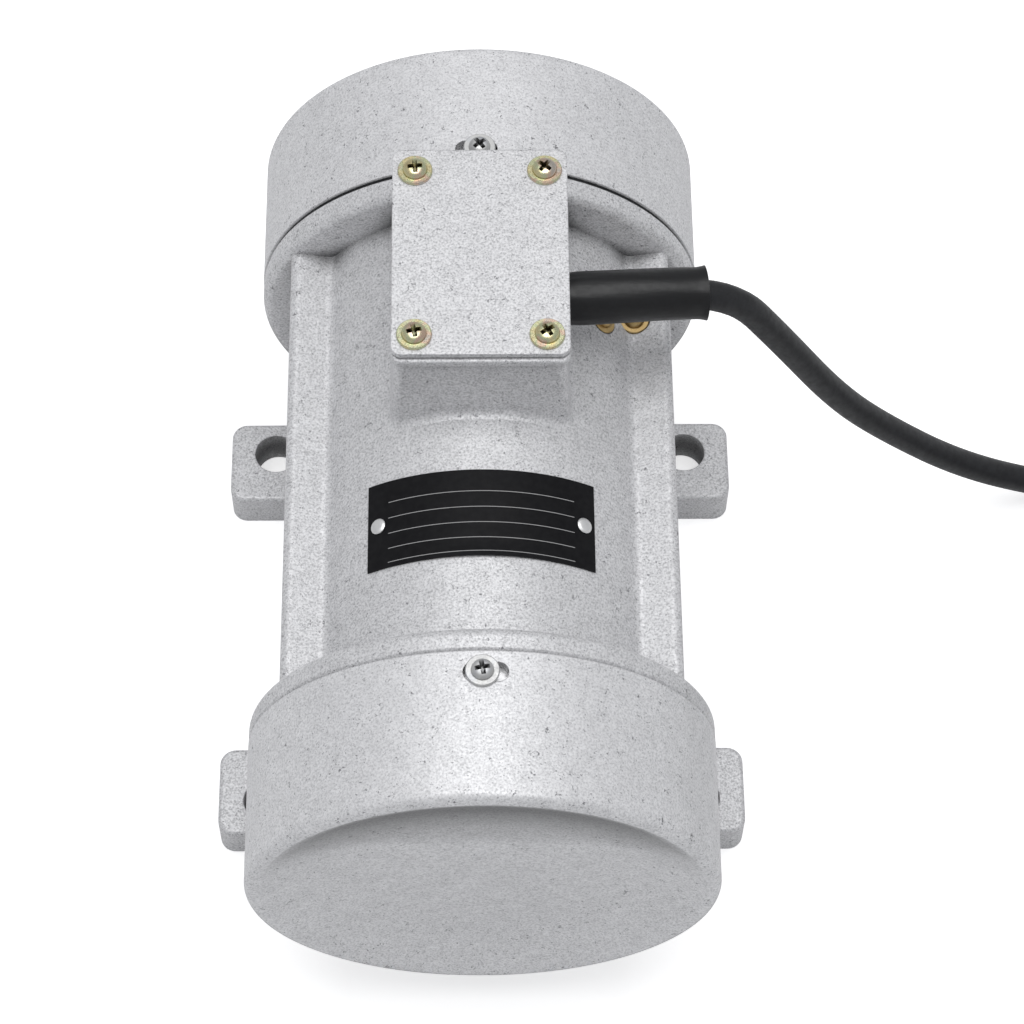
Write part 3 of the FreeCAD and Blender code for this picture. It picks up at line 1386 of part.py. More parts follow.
def make_plug():
    """A moulded plug that lies flat; its X axis points from the cord to the blades."""
    body = new_body("plug_body")
    place(body, *TAIL_ROUTE[-1], plug_turn())
    half_width, half_height = d.plug_width / 2, d.plug_height / 2
    sketch = outline(new_sketch(body, "ReliefProfile", "XZ_Plane"), [
        (0, 0), (0, d.relief_radius), (d.relief_length, d.relief_radius * 1.5), (d.relief_length, 0),
    ])
    turn_about(body, "Relief", "Revolution", sketch, "X_Axis")
    grip = rectangle(new_sketch(body, "GripSection", "YZ_Plane", d.relief_length),
                     -half_width, -half_height, half_width, half_height, d.plug_round)
    pad(body, "Grip", grip, d.plug_length)
    blades = new_body("plug_blades")
    place(blades, *TAIL_ROUTE[-1], plug_turn())
    face = d.relief_length + d.plug_length
    sketch = new_sketch(blades, "BladeSection", "YZ_Plane", face)
    low, side = d.blade_offset - d.blade_width / 2, d.blade_thickness / 2
    for hand in (-0.5, 0.5):
        middle = hand * d.blade_spacing
        rectangle(sketch, middle - side, low, middle + side, low + d.blade_width)
    pad(blades, "Blades", sketch, d.blade_length)
    pin_section = circle(new_sketch(blades, "PinSection", "YZ_Plane", face), 0, -d.earth_pin_drop,
                         d.earth_pin_radius)
    pad(blades, "EarthPin", pin_section, d.earth_pin_length)


make_housing()
make_box_cover()
make_cover_screws()
make_earth_screws()
make_terminal_block()
make_capacitor()
make_sleeve()
make_nameplate()
cap_screw = make_washer_screw("cap_screw", d.cap_washer_radius, d.cap_screw_reach)
shield_screw = make_socket_screw("shield_screw", d.shield_head_radius, d.shield_head_height,
                                 d.shield_screw_radius, d.shield_rim_length - d.shield_head_height
                                 + d.shield_screw_reach)
clamp_bolt = make_socket_screw("clamp_bolt", d.clamp_head_radius, d.clamp_head_height,
                               d.clamp_bolt_radius, d.weight_hub_half_width * 2 - d.clamp_head_height)
for side, seal in (("front", d.front_seal), ("rear", d.rear_seal)):
    make_cap(side, seal)
    make_seal(side, seal)
    make_shield(side)
    make_end_screws(side, cap_screw, shield_screw)
    make_bearing(side)
    make_weights(side, clamp_bolt)
    make_circlip(side)
make_shaft()
make_rotor()
make_stator()
make_spring_washer()
make_lead_in()
make_tube("power_cord", CORD_ROUTE)
make_coil()
make_tube("cord_tail", TAIL_ROUTE)
make_plug()

doc.recompute()

faults = [thing.Name for thing in doc.Objects if {"Invalid", "Error"} & set(thing.State)]
for label, thing in parts.items():
    if thing.Shape.isNull() or not thing.Shape.isValid() or not thing.Shape.Solids:
        faults.append(label)
if faults:
    sys.exit("failed: " + ", ".join(faults))

os.makedirs("parts", exist_ok=True)
for label, thing in parts.items():
    thing.Shape.exportStep(f"parts/{label}.step")
    print(f"{label}: {len(thing.Shape.Solids)} solid(s), {thing.Shape.Volume / 1000:.2f} cm3")
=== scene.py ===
"""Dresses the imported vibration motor: camera, light, materials and the detailed visible pieces.

Lengths are in metres where no comment says mm, and angles in degrees. The frame is that of the
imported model: Y runs along the shaft, Z is up.
"""

import json
import math

import bmesh
import bpy
from mathutils import Matrix, Quaternion, Vector


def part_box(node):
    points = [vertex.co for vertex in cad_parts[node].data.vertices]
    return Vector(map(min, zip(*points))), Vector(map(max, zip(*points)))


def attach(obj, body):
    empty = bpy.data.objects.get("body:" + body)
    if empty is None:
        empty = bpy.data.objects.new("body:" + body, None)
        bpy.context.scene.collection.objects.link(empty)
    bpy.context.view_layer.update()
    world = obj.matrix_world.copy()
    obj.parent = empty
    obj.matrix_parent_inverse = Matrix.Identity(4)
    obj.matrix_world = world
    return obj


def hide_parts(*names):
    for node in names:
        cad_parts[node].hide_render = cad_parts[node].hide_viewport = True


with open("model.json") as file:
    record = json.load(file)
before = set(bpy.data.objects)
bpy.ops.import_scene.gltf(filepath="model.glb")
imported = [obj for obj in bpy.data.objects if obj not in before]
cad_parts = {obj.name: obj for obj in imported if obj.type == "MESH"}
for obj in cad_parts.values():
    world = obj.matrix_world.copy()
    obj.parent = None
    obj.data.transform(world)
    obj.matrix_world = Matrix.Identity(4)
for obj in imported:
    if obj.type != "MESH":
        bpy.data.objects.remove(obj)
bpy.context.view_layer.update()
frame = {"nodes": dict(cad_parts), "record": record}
nodes = frame["nodes"]

MM = 0.001
AXIS_HEIGHT = 88.8 * MM
BARREL_RADIUS = 54.5 * MM
DISH_RADIUS = 64.5 * MM
CORD_DIAMETER = 9.0 * MM


# ---------------------------------------------------------------- camera

CAMERA_PLACE = Vector((-0.0022, -0.4572, 0.92775))
CAMERA_AIM = Vector((0.00963, 0.00474, 0.08))
CAMERA_ROLL = 1.046
CAMERA_LENS = 109.8
CAMERA_SENSOR = 36.0


def make_camera():
    """A long lens that looks down steeply from above the front cap."""
    camera = bpy.data.objects.new("camera", bpy.data.cameras.new("camera"))
    camera.data.lens = CAMERA_LENS
    camera.data.sensor_width = CAMERA_SENSOR
    camera.location = CAMERA_PLACE
    camera.rotation_mode = "QUATERNION"
    roll = Quaternion((0, 0, 1), math.radians(CAMERA_ROLL))
    camera.rotation_quaternion = (CAMERA_AIM - CAMERA_PLACE).to_track_quat("-Z", "Y") @ roll
    bpy.context.scene.collection.objects.link(camera)
    bpy.context.scene.camera = camera


make_camera()


# ---------------------------------------------------------------- node materials

class Shader:
    """A material whose colour, gloss and relief are built from nodes in the object's own space."""

    def __init__(self, name, metallic=0.0, roughness=0.5, **settings):
        self.material = bpy.data.materials.new(name)
        self.material.use_nodes = True
        self.tree = self.material.node_tree
        self.surface = self.tree.nodes["Principled BSDF"]
        self.surface.inputs["Metallic"].default_value = metallic
        self.surface.inputs["Roughness"].default_value = roughness
        for setting, value in settings.items():
            self.surface.inputs[setting.replace("_", " ")].default_value = value
        self.place = self.tree.nodes.new("ShaderNodeTexCoord").outputs["Object"]
        self.normal = None

    def feed(self, socket, value):
        """Link an output to a socket, or set the socket's own value."""
        if isinstance(value, bpy.types.NodeSocket):
            self.tree.links.new(value, socket)
        else:
            socket.default_value = value

    def stretched(self, x, y, z):
        """The place, scaled along each axis."""
        node = self.tree.nodes.new("ShaderNodeMapping")
        self.feed(node.inputs["Vector"], self.place)
        node.inputs["Scale"].default_value = (x, y, z)
        return node.outputs["Vector"]

    def noise(self, scale, detail=2.0, roughness=0.5, where=None):
        node = self.tree.nodes.new("ShaderNodeTexNoise")
        self.feed(node.inputs["Vector"], where or self.place)
        node.inputs["Scale"].default_value = scale
        node.inputs["Detail"].default_value = detail
        node.inputs["Roughness"].default_value = roughness
        return node.outputs["Fac"]

    def math(self, operation, a, b=0.0):
        node = self.tree.nodes.new("ShaderNodeMath")
        node.operation = operation
        self.feed(node.inputs[0], a)
        self.feed(node.inputs[1], b)
        return node.outputs[0]

    def coordinate(self, axis):
        node = self.tree.nodes.new("ShaderNodeSeparateXYZ")
        self.feed(node.inputs[0], self.place)
        return node.outputs[axis]

    def slope(self):
        """How far a face looks up, from 0 straight down to 1 straight up; 0.5 is a wall."""
        node = self.tree.nodes.new("ShaderNodeSeparateXYZ")
        self.feed(node.inputs[0], self.place.node.outputs["Normal"])
        return self.math("MULTIPLY", self.math("ADD", node.outputs["Z"], 1.0), 0.5)

    def ramp(self, factor, *stops):
        """A colour ramp; each stop is (position, colour) and a colour may be one grey value."""
        node = self.tree.nodes.new("ShaderNodeValToRGB")
        self.feed(node.inputs["Fac"], factor)
        elements = node.color_ramp.elements
        while len(elements) < len(stops):
            elements.new(0.5)
        for element, (position, colour) in zip(elements, stops):
            element.position = position
            red_green_blue = colour if isinstance(colour, tuple) else (colour,) * 3
            element.color = (*red_green_blue, 1.0)
        return node.outputs["Color"]

    def mix(self, factor, a, b, blend="MIX"):
        node = self.tree.nodes.new("ShaderNodeMix")
        node.data_type = "RGBA"
        node.blend_type = blend
        self.feed(node.inputs["Factor"], factor)
        for socket, value in zip([s for s in node.inputs if s.type == "RGBA"], (a, b)):
            self.feed(socket, (*value, 1.0) if isinstance(value, tuple) else value)
        return next(s for s in node.outputs if s.type == "RGBA")

    def shelter(self, distance):
        """How open a place is: near 0 deep in a recess, 1 in the open."""
        node = self.tree.nodes.new("ShaderNodeAmbientOcclusion")
        node.samples = 8
        node.only_local = True
        node.inputs["Distance"].default_value = distance
        return node.outputs["AO"]

    def colour(self, value):
        self.feed(self.surface.inputs["Base Color"], (*value, 1.0) if isinstance(value, tuple) else value)

    def gloss(self, value):
        self.feed(self.surface.inputs["Roughness"], value)

    def soften_edges(self, radius):
        node = self.tree.nodes.new("ShaderNodeBevel")
        node.samples = 6
        node.inputs["Radius"].default_value = radius
        self.normal = node.outputs["Normal"]
        self.feed(self.surface.inputs["Normal"], self.normal)

    def bump(self, height, depth, strength=1.0):
        """Relief of a depth in metres, on top of what is there already."""
        node = self.tree.nodes.new("ShaderNodeBump")
        node.inputs["Strength"].default_value = strength
        node.inputs["Distance"].default_value = depth
        self.feed(node.inputs["Height"], height)
        if self.normal is not None:
            self.feed(node.inputs["Normal"], self.normal)
        self.normal = node.outputs["Normal"]
        self.feed(self.surface.inputs["Normal"], self.normal)


def painted_dish_shade(s):
    """Painted shade: darker towards the top of a cap's dish, under its crest."""
    across = s.coordinate("X")
    up = s.math("SUBTRACT", s.coordinate("Z"), AXIS_HEIGHT)
    out = s.math("SQRT", s.math("ADD", s.math("MULTIPLY", across, across), s.math("MULTIPLY", up, up)))
    inside = s.ramp(s.math("DIVIDE", out, DISH_RADIUS), (0.955, 1.0), (0.995, 0.0))
    shade = s.ramp(s.math("DIVIDE", up, DISH_RADIUS), (0.34, 1.0), (0.45, 0.79), (0.85, 0.42))
    return s.mix(inside, (1.0, 1.0, 1.0), shade)


def cast_paint(name="cast_paint", tints=(0.44, 0.67, 0.80), with_painted_dish_shade=False):
    """Silver-grey paint with fine dark specks over rough sand-cast aluminium."""
    s = Shader(name, metallic=0.3, roughness=0.44)
    grain = s.noise(1500.0, 3.0, 0.72)
    patches = s.noise(190.0, 3.0, 0.6)
    dark, plain, light = [(tint, tint, tint + 0.01) for tint in tints]
    base = s.ramp(grain, (0.36, dark), (0.50, plain), (0.64, light))
    tone = s.mix(1.0, base, s.ramp(patches, (0.35, 0.92), (0.65, 1.0)), "MULTIPLY")
    hollows = s.math("MULTIPLY", s.noise(420.0, 2.0, 0.6), s.noise(1900.0, 1.0, 0.5))
    specks = s.ramp(hollows, (0.105, 1.0), (0.15, 0.0))
    speckled = s.mix(specks, tone, (0.20, 0.20, 0.21))
    # painted shade: faces that look down are made darker
    thin = s.ramp(s.slope(), (0.38, 0.56), (0.475, 1.0))
    # painted shade: holes and tight corners are darker, by their ambient occlusion
    recess_painted_shade = s.ramp(s.shelter(15.0 * MM), (0.40, 0.22), (0.56, 1.0))
    paint = s.mix(1.0, speckled, s.mix(1.0, thin, recess_painted_shade, "MULTIPLY"), "MULTIPLY")
    # the caps add a painted shade, darker towards the top of the dish
    s.colour(s.mix(1.0, paint, painted_dish_shade(s), "MULTIPLY") if with_painted_dish_shade else paint)
    s.gloss(s.ramp(grain, (0.35, 0.54), (0.65, 0.38)))
    s.soften_edges(0.7 * MM)
    s.bump(s.noise(75.0, 3.0, 0.6), 0.30 * MM, 0.5)
    s.bump(s.noise(950.0, 4.0, 0.7), 0.09 * MM, 0.9)
    return s.material


def bare_aluminium():
    """Machined aluminium, uncoated."""
    s = Shader("bare_aluminium", metallic=0.9, roughness=0.38)
    s.colour(s.ramp(s.noise(500.0, 3.0), (0.3, (0.66, 0.66, 0.67)), (0.7, (0.80, 0.80, 0.81))))
    s.bump(s.noise(900.0, 3.0), 0.05 * MM, 0.5)
    return s.material


def steel():
    """Turned and ground steel: fine rings about the shaft axis."""
    s = Shader("bright_steel", metallic=1.0, roughness=0.24)
    rings = s.noise(1.0, 2.0, 0.6, s.stretched(120.0, 3200.0, 120.0))
    s.colour(s.ramp(rings, (0.3, (0.50, 0.50, 0.51)), (0.7, (0.64, 0.64, 0.65))))
    s.gloss(s.ramp(rings, (0.3, 0.34), (0.7, 0.20)))
    s.bump(rings, 0.01 * MM, 0.4)
    return s.material


def weight_iron():
    """Dark cast iron."""
    s = Shader("weight_iron", metallic=0.8, roughness=0.5)
    s.colour(s.ramp(s.noise(240.0, 4.0, 0.7), (0.3, (0.16, 0.155, 0.15)), (0.7, (0.33, 0.33, 0.33))))
    s.bump(s.noise(600.0, 3.0), 0.04 * MM, 0.6)
    return s.material


def zinc(name, *tints, roughness=0.25):
    """Plating whose tint drifts from place to place, with a painted shade deep in a recess."""
    s = Shader(name, metallic=1.0, roughness=roughness)
    first_stop, reach = 0.30, 0.40
    stops = [(first_stop + reach * i / (len(tints) - 1), tint) for i, tint in enumerate(tints)]
    drift = s.ramp(s.noise(210.0, 2.0, 0.5), *stops)
    # painted shade: deep in a recess the plating turns to a near-black copy of its first tint
    dark = tuple(part * 0.16 for part in tints[0])
    s.colour(s.mix(s.ramp(s.shelter(1.6 * MM), (0.35, 0.0), (0.75, 1.0)), dark, drift))
    s.gloss(s.ramp(s.noise(2600.0, 2.0), (0.3, roughness - 0.05), (0.7, roughness + 0.15)))
    s.bump(s.noise(3000.0, 2.0), 0.01 * MM, 0.4)
    return s.material


def rubber(name, grey, roughness, streaks=0.0):
    """Black rubber with a little dust; streaks is the depth of moulding lines along X."""
    s = Shader(name, roughness=roughness, Specular_IOR_Level=0.36)
    dust = s.noise(420.0, 4.0, 0.7)
    cool = (0.96, 1.0, 1.12)
    low, high = [tuple(grey * share * part for part in cool) for share in (0.8, 1.5)]
    s.colour(s.ramp(dust, (0.35, low), (0.75, high)))
    s.gloss(s.ramp(dust, (0.3, roughness + 0.1), (0.7, roughness - 0.06)))
    s.bump(s.noise(1700.0, 3.0, 0.6), 0.03 * MM, 0.4)
    if streaks:
        s.bump(s.noise(1.0, 3.0, 0.6, s.stretched(25.0, 900.0, 900.0)), streaks, 0.5)
    return s.material


def copper_wire():
    """Enamelled wire wound round the axis, with its varnish."""
    s = Shader("copper_wire", metallic=0.55, roughness=0.3, Coat_Weight=0.4)
    strands = s.noise(1.0, 1.0, 0.5, s.stretched(260.0, 1500.0, 260.0))
    s.colour(s.ramp(strands, (0.3, (0.22, 0.07, 0.03)), (0.7, (0.60, 0.25, 0.10))))
    s.bump(strands, 0.25 * MM, 0.8)
    return s.material


def laminations():
    """Sheet steel stacked along the shaft axis: thin dark lines across Y."""
    s = Shader("laminated_steel", metallic=0.85, roughness=0.42)
    sheet = s.math("FRACT", s.math("MULTIPLY", s.coordinate("Y"), 2000.0))
    s.colour(s.ramp(sheet, (0.10, (0.12, 0.12, 0.13)), (0.30, (0.42, 0.42, 0.43))))
    s.bump(s.ramp(sheet, (0.05, 0.0), (0.3, 1.0)), 0.05 * MM, 0.5)
    return s.material


def plastic(name, colour):
    """Moulded plastic with a fine grain."""
    s = Shader(name, roughness=0.45)
    darker = tuple(part * 0.9 for part in colour)
    s.colour(s.ramp(s.noise(300.0, 3.0), (0.3, darker), (0.7, colour)))
    s.bump(s.noise(1500.0, 2.0), 0.02 * MM, 0.4)
    return s.material


# in mm: where the ruled lines lie along Y, how far each reaches to either side, and its width
PLATE_LINES = (-23.0, -28.1, -33.1, -38.0, -42.5)
PLATE_LINE_REACH = 26.8
PLATE_LINE_WIDTH = 0.20
PLATE_LINE_STRENGTH = 0.6


def black_plate():
    """Black printed sheet with thin white ruled lines across its blank rows."""
    s = Shader("black_plate", roughness=0.45, Specular_IOR_Level=0.12)
    along, across = s.coordinate("Y"), s.coordinate("X")
    mask = 0.0
    for line in PLATE_LINES:
        off = s.math("ABSOLUTE", s.math("SUBTRACT", along, line * MM))
        mask = s.math("MAXIMUM", mask, s.math("LESS_THAN", off, PLATE_LINE_WIDTH * MM / 2))
    inside = s.math("LESS_THAN", s.math("ABSOLUTE", across), PLATE_LINE_REACH * MM)
    mask = s.math("MULTIPLY", s.math("MULTIPLY", mask, inside), PLATE_LINE_STRENGTH)
    black = s.ramp(s.noise(500.0, 3.0), (0.3, (0.005, 0.005, 0.006)), (0.7, (0.009, 0.009, 0.010)))
    s.colour(s.mix(mask, black, (0.62, 0.62, 0.62)))
    s.gloss(s.ramp(s.noise(350.0, 3.0), (0.3, 0.50), (0.7, 0.40)))
    s.bump(s.noise(900.0, 2.0), 0.01 * MM, 0.4)
    return s.material


YELLOW_TINTS = (
    (0.62, 0.52, 0.30), (0.70, 0.62, 0.36), (0.58, 0.62, 0.40), (0.68, 0.50, 0.38), (0.56, 0.52, 0.46),
)
# a darker copy of the yellow zinc, for the earth screws: painted shade from the sleeve over them
SHADED_ZINC_TINTS = ((0.44, 0.31, 0.13), (0.58, 0.42, 0.20))
WHITE_TINTS = ((0.50, 0.50, 0.50), (0.62, 0.62, 0.61), (0.56, 0.57, 0.59))
RIVET_TINTS = ((0.76, 0.76, 0.76), (0.88, 0.88, 0.87))
BRASS_TINTS = ((0.72, 0.52, 0.22), (0.84, 0.66, 0.33))
# the caps' paint is a lighter copy of the housing paint: painted light
CAP_LIT_TINTS = (0.55, 0.73, 0.84)
SLOT_MATERIALS = {
    "cast_paint": cast_paint(),
    "bare_aluminium": bare_aluminium(),
    "black_rubber": rubber("black_rubber", 0.006, 0.34, 0.10 * MM),
    "cord_sheath": rubber("cord_sheath", 0.014, 0.45),
    "brass": zinc("brass", *BRASS_TINTS, roughness=0.28),
    "yellow_zinc": zinc("yellow_zinc", *YELLOW_TINTS),
    "white_zinc": zinc("white_zinc", *WHITE_TINTS, roughness=0.48),
    "black_plate": black_plate(),
    "pale_plastic": plastic("pale_plastic", (0.72, 0.70, 0.62)),
    "copper_wire": copper_wire(),
    "weight_iron": weight_iron(),
    "bright_steel": steel(),
}
SHADED_ZINC = zinc("shaded_zinc", *SHADED_ZINC_TINTS, roughness=0.32)
RIVET_METAL = zinc("rivet_metal", *RIVET_TINTS, roughness=0.42)
SPECIAL_MATERIALS = {"stator_core": laminations()}
# cap paint: the lighter copy, with a painted shade in each dish
SPECIAL_MATERIALS["front_cap"] = cast_paint("cap_paint_with_painted_light", CAP_LIT_TINTS, with_painted_dish_shade=True)
SPECIAL_MATERIALS["rear_cap"] = SPECIAL_MATERIALS["front_cap"]
SPECIAL_MATERIALS["rotor_core"] = SPECIAL_MATERIALS["stator_core"]

CAD_SHARP_ANGLE = 28.0
PIECE_SHARP_ANGLE = 35.0


def finish_nodes():
    """Give every CAD node the material of its slot, or one of its own."""
    slot_of = {part["node"]: part["material_slot"] for part in frame["record"]["subparts"]}
    for name, node in nodes.items():
        material = SPECIAL_MATERIALS.get(name, SLOT_MATERIALS[slot_of[name]])
        node.data.materials.clear()
        node.data.materials.append(material)
        node.data.shade_smooth()
        node.data.set_sharp_from_angle(angle=math.radians(CAD_SHARP_ANGLE))


finish_nodes()


# ---------------------------------------------------------------- mesh helpers

def new_piece(name, mesh, material, body, replaced=None):
    """Link a mesh as a piece that rides on a body and stands for CAD nodes."""
    piece = bpy.data.objects.new(name, mesh)
    bpy.context.scene.collection.objects.link(piece)
    mesh.materials.clear()
    mesh.materials.append(material)
    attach(piece, body)
    if replaced:
        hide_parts(*replaced)
    return piece


def finish_mesh(bm, name):
    """Turn a bmesh into a smooth mesh with its sharp edges marked."""
    bmesh.ops.remove_doubles(bm, verts=bm.verts, dist=1e-7)
    bmesh.ops.recalc_face_normals(bm, faces=bm.faces)
    mesh = bpy.data.meshes.new(name)
    bm.to_mesh(mesh)
    bm.free()
    mesh.shade_smooth()
    mesh.set_sharp_from_angle(angle=math.radians(PIECE_SHARP_ANGLE))
    return mesh


def join_rings(bm, rings, closed=False):
    """Quads between successive rings of vertices; unless closed, each end gets a flat face."""
    pairs = list(zip(rings, rings[1:]))
    if closed:
        pairs.append((rings[-1], rings[0]))
    for first, second in pairs:
        count = len(first)
        for i in range(count):
            j = (i + 1) % count
            bm.faces.new((first[i], first[j], second[j], second[i]))
    if not closed:
        bm.faces.new(rings[0])
        bm.faces.new(rings[-1])


def turned(profile, segments=48):
    """A bmesh of a profile of (radius, height) turned about Z, with no radius of 0."""
    bm = bmesh.new()
    rings = []
    for radius, height in profile:
        ring = []
        for i in range(segments):
            angle = math.tau * i / segments
            ring.append(bm.verts.new((radius * math.cos(angle), radius * math.sin(angle), height)))
        rings.append(ring)
    join_rings(bm, rings)
    return bm


def cross_cutter(half_width, half_span, top, depth):
    """A tapered cross, wide at the top, that cuts a driver recess."""
    w, s = half_width, half_span
    corners = [
        (w, w), (w, s), (-w, s), (-w, w), (-s, w), (-s, -w),
        (-w, -w), (-w, -s), (w, -s), (w, -w), (s, -w), (s, w),
    ]
    bm = bmesh.new()
    rings = []
    for height, share in ((top, 1.12), (top - depth, 0.42)):
        rings.append([bm.verts.new((x * share, y * share, height)) for x, y in corners])
    join_rings(bm, rings)
    return finish_mesh(bm, "cross_cutter")


def cut_away(mesh, cutter):
    """Take one mesh out of another and return the result."""
    piece = bpy.data.objects.new("whole", mesh)
    tool = bpy.data.objects.new("tool", cutter)
    for thing in (piece, tool):
        bpy.context.scene.collection.objects.link(thing)
    modifier = piece.modifiers.new("cut", "BOOLEAN")
    modifier.operation, modifier.solver, modifier.object = "DIFFERENCE", "EXACT", tool
    graph = bpy.context.evaluated_depsgraph_get()
    result = bpy.data.meshes.new_from_object(piece.evaluated_get(graph))
    for thing in (piece, tool):
        bpy.data.objects.remove(thing)
    return result


def repeated(name, mesh, places):
    """One mesh that holds a copy of another at each place (a matrix)."""
    bm = bmesh.new()
    for place in places:
        copy = mesh.copy()
        copy.transform(place)
        bm.from_mesh(copy)
        bpy.data.meshes.remove(copy)
    made = bpy.data.meshes.new(name)
    bm.to_mesh(made)
    bm.free()
    made.shade_smooth()
    made.set_sharp_from_angle(angle=math.radians(PIECE_SHARP_ANGLE))
    return made


# ---------------------------------------------------------------- screws and rivets

# all in mm; the reach is the length of the shank below the washer
COVER_SCREW = {"washer_radius": 5.1, "head_radius": 3.6, "reach": 9.0}
EARTH_SCREW = {"washer_radius": 4.7, "head_radius": 3.1, "reach": 4.2}
CAP_SCREW = {"washer_radius": 4.8, "head_radius": 3.17, "reach": 12.5}
WASHER_HEIGHT = 0.9
HEAD_HEIGHT = 2.1
SHANK_RADIUS = 2.0
THREAD_PITCH = 0.7
THREAD_ROOT = 0.82
RECESS_HALF_WIDTH = 0.65
RECESS_HALF_SPAN = 2.2
RECESS_DEPTH = 2.05
RECESS_CLEARANCE = 0.15


def screw_mesh(washer_radius, head_radius, reach):
    """A pan head with a cross recess on a washer, and a threaded shank below."""
    profile = []
    for i in range(int(reach / THREAD_PITCH)):
        low = i * THREAD_PITCH - reach
        profile += [(SHANK_RADIUS * THREAD_ROOT, low), (SHANK_RADIUS, low + THREAD_PITCH / 2)]
    profile += [(SHANK_RADIUS * THREAD_ROOT, -0.1), (SHANK_RADIUS, 0.0)]
    edge = WASHER_HEIGHT * 0.3
    profile += [
        (washer_radius - edge, 0.0), (washer_radius, edge), (washer_radius, WASHER_HEIGHT - edge),
        (washer_radius - edge, WASHER_HEIGHT), (head_radius, WASHER_HEIGHT),
    ]
    first, last, steps = 10, 90, 8
    for i in range(steps + 1):
        angle = math.radians(first + (last - first) * i / steps)
        radius = head_radius * math.cos(angle) ** 0.62
        profile.append((max(radius, 0.05), WASHER_HEIGHT + HEAD_HEIGHT * math.sin(angle)))
    whole = finish_mesh(turned([(radius * MM, height * MM) for radius, height in profile]), "screw")
    top = WASHER_HEIGHT + HEAD_HEIGHT + RECESS_CLEARANCE
    depth = RECESS_DEPTH + RECESS_CLEARANCE
    cutter = cross_cutter(RECESS_HALF_WIDTH * MM, RECESS_HALF_SPAN * MM, top * MM, depth * MM)
    return cut_away(whole, cutter)


def spin(angle):
    """A turn about Z, in degrees."""
    return Matrix.Rotation(math.radians(angle), 4, "Z")


def round_axis(angle):
    """A turn about the direction of the shaft, in degrees."""
    return Matrix.Rotation(math.radians(angle), 4, "Y")


def add_cover_screws():
    low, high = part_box("cover_screws")
    radius = COVER_SCREW["washer_radius"] * MM
    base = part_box("junction_box_cover")[1].z
    spots = [
        (low.x + radius, low.y + radius, 12), (high.x - radius, low.y + radius, 33),
        (low.x + radius, high.y - radius, 5), (high.x - radius, high.y - radius, 52),
    ]
    places = [Matrix.Translation((x, y, base)) @ spin(turn) for x, y, turn in spots]
    mesh = repeated("cover_screws_detailed", screw_mesh(**COVER_SCREW), places)
    new_piece("cover_screws_detailed", mesh, SLOT_MATERIALS["yellow_zinc"], "housing",
              ["cover_screws"])


EARTH_SCREW_ANGLE = 43.0
EARTH_SCREW_SEAT = 53.9 * MM


def add_earth_screws():
    """One screw square to the barrel and one upright in the shoulder beside it."""
    low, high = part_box("earth_screws")
    washer, reach = EARTH_SCREW["washer_radius"] * MM, EARTH_SCREW["reach"] * MM
    axis = Matrix.Translation((0, low.y + washer, AXIS_HEIGHT))
    out = Matrix.Translation((0, 0, EARTH_SCREW_SEAT))
    on_barrel = axis @ round_axis(EARTH_SCREW_ANGLE) @ out @ spin(20)
    on_shoulder = Matrix.Translation((high.x - washer, high.y - washer, low.z + reach)) @ spin(50)
    mesh = repeated("earth_screws_detailed", screw_mesh(**EARTH_SCREW), [on_barrel, on_shoulder])
    new_piece("earth_screws_detailed", mesh, SHADED_ZINC, "housing", ["earth_screws"])


CAP_SCREW_SEAT = 68.55 * MM


def add_cap_screws():
    """Three screws round each cap, each square to the cap's wall."""
    screw = screw_mesh(**CAP_SCREW)
    for side, tilt in (("front", 10), ("rear", 38)):
        low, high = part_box(f"{side}_cap_screws")
        middle = Matrix.Translation((0, (low.y + high.y) / 2, AXIS_HEIGHT))
        reach = Matrix.Translation((0, 0, CAP_SCREW_SEAT))
        places = [middle @ round_axis(120 * i) @ reach @ spin(tilt + 31 * i) for i in range(3)]
        mesh = repeated(f"{side}_cap_screws_detailed", screw, places)
        new_piece(f"{side}_cap_screws_detailed", mesh, SLOT_MATERIALS["white_zinc"], "housing",
                  [f"{side}_cap_screws"])


RIVET_ANGLE = 32.6
PLATE_THICKNESS = 0.6 * MM


def add_rivets():
    """Drive rivets with a shallow domed head and a small flat rim."""
    profile = [
        (1.2, -4.0), (1.2, 0.0), (2.4, 0.02), (2.42, 0.25),
        (2.2, 0.5), (1.6, 0.72), (0.8, 0.80), (0.05, 0.81),
    ]
    rivet = finish_mesh(turned([(radius * MM, height * MM) for radius, height in profile], 40), "rivet")
    low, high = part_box("nameplate_rivets")
    middle = Matrix.Translation((0, (low.y + high.y) / 2, AXIS_HEIGHT))
    out = Matrix.Translation((0, 0, BARREL_RADIUS + PLATE_THICKNESS))
    places = [middle @ round_axis(RIVET_ANGLE * hand) @ out for hand in (-1, 1)]
    mesh = repeated("nameplate_rivets_detailed", rivet, places)
    new_piece("nameplate_rivets_detailed", mesh, RIVET_METAL, "housing", ["nameplate_rivets"])


# ---------------------------------------------------------------- nameplate, sleeve, cord and plug

PLATE_HALF_ANGLE = 36.5
PLATE_OUTER_FACE = 0.55 * MM
PLATE_INNER_FACE = 0.12 * MM
PLATE_LIFT = 0.55 * MM


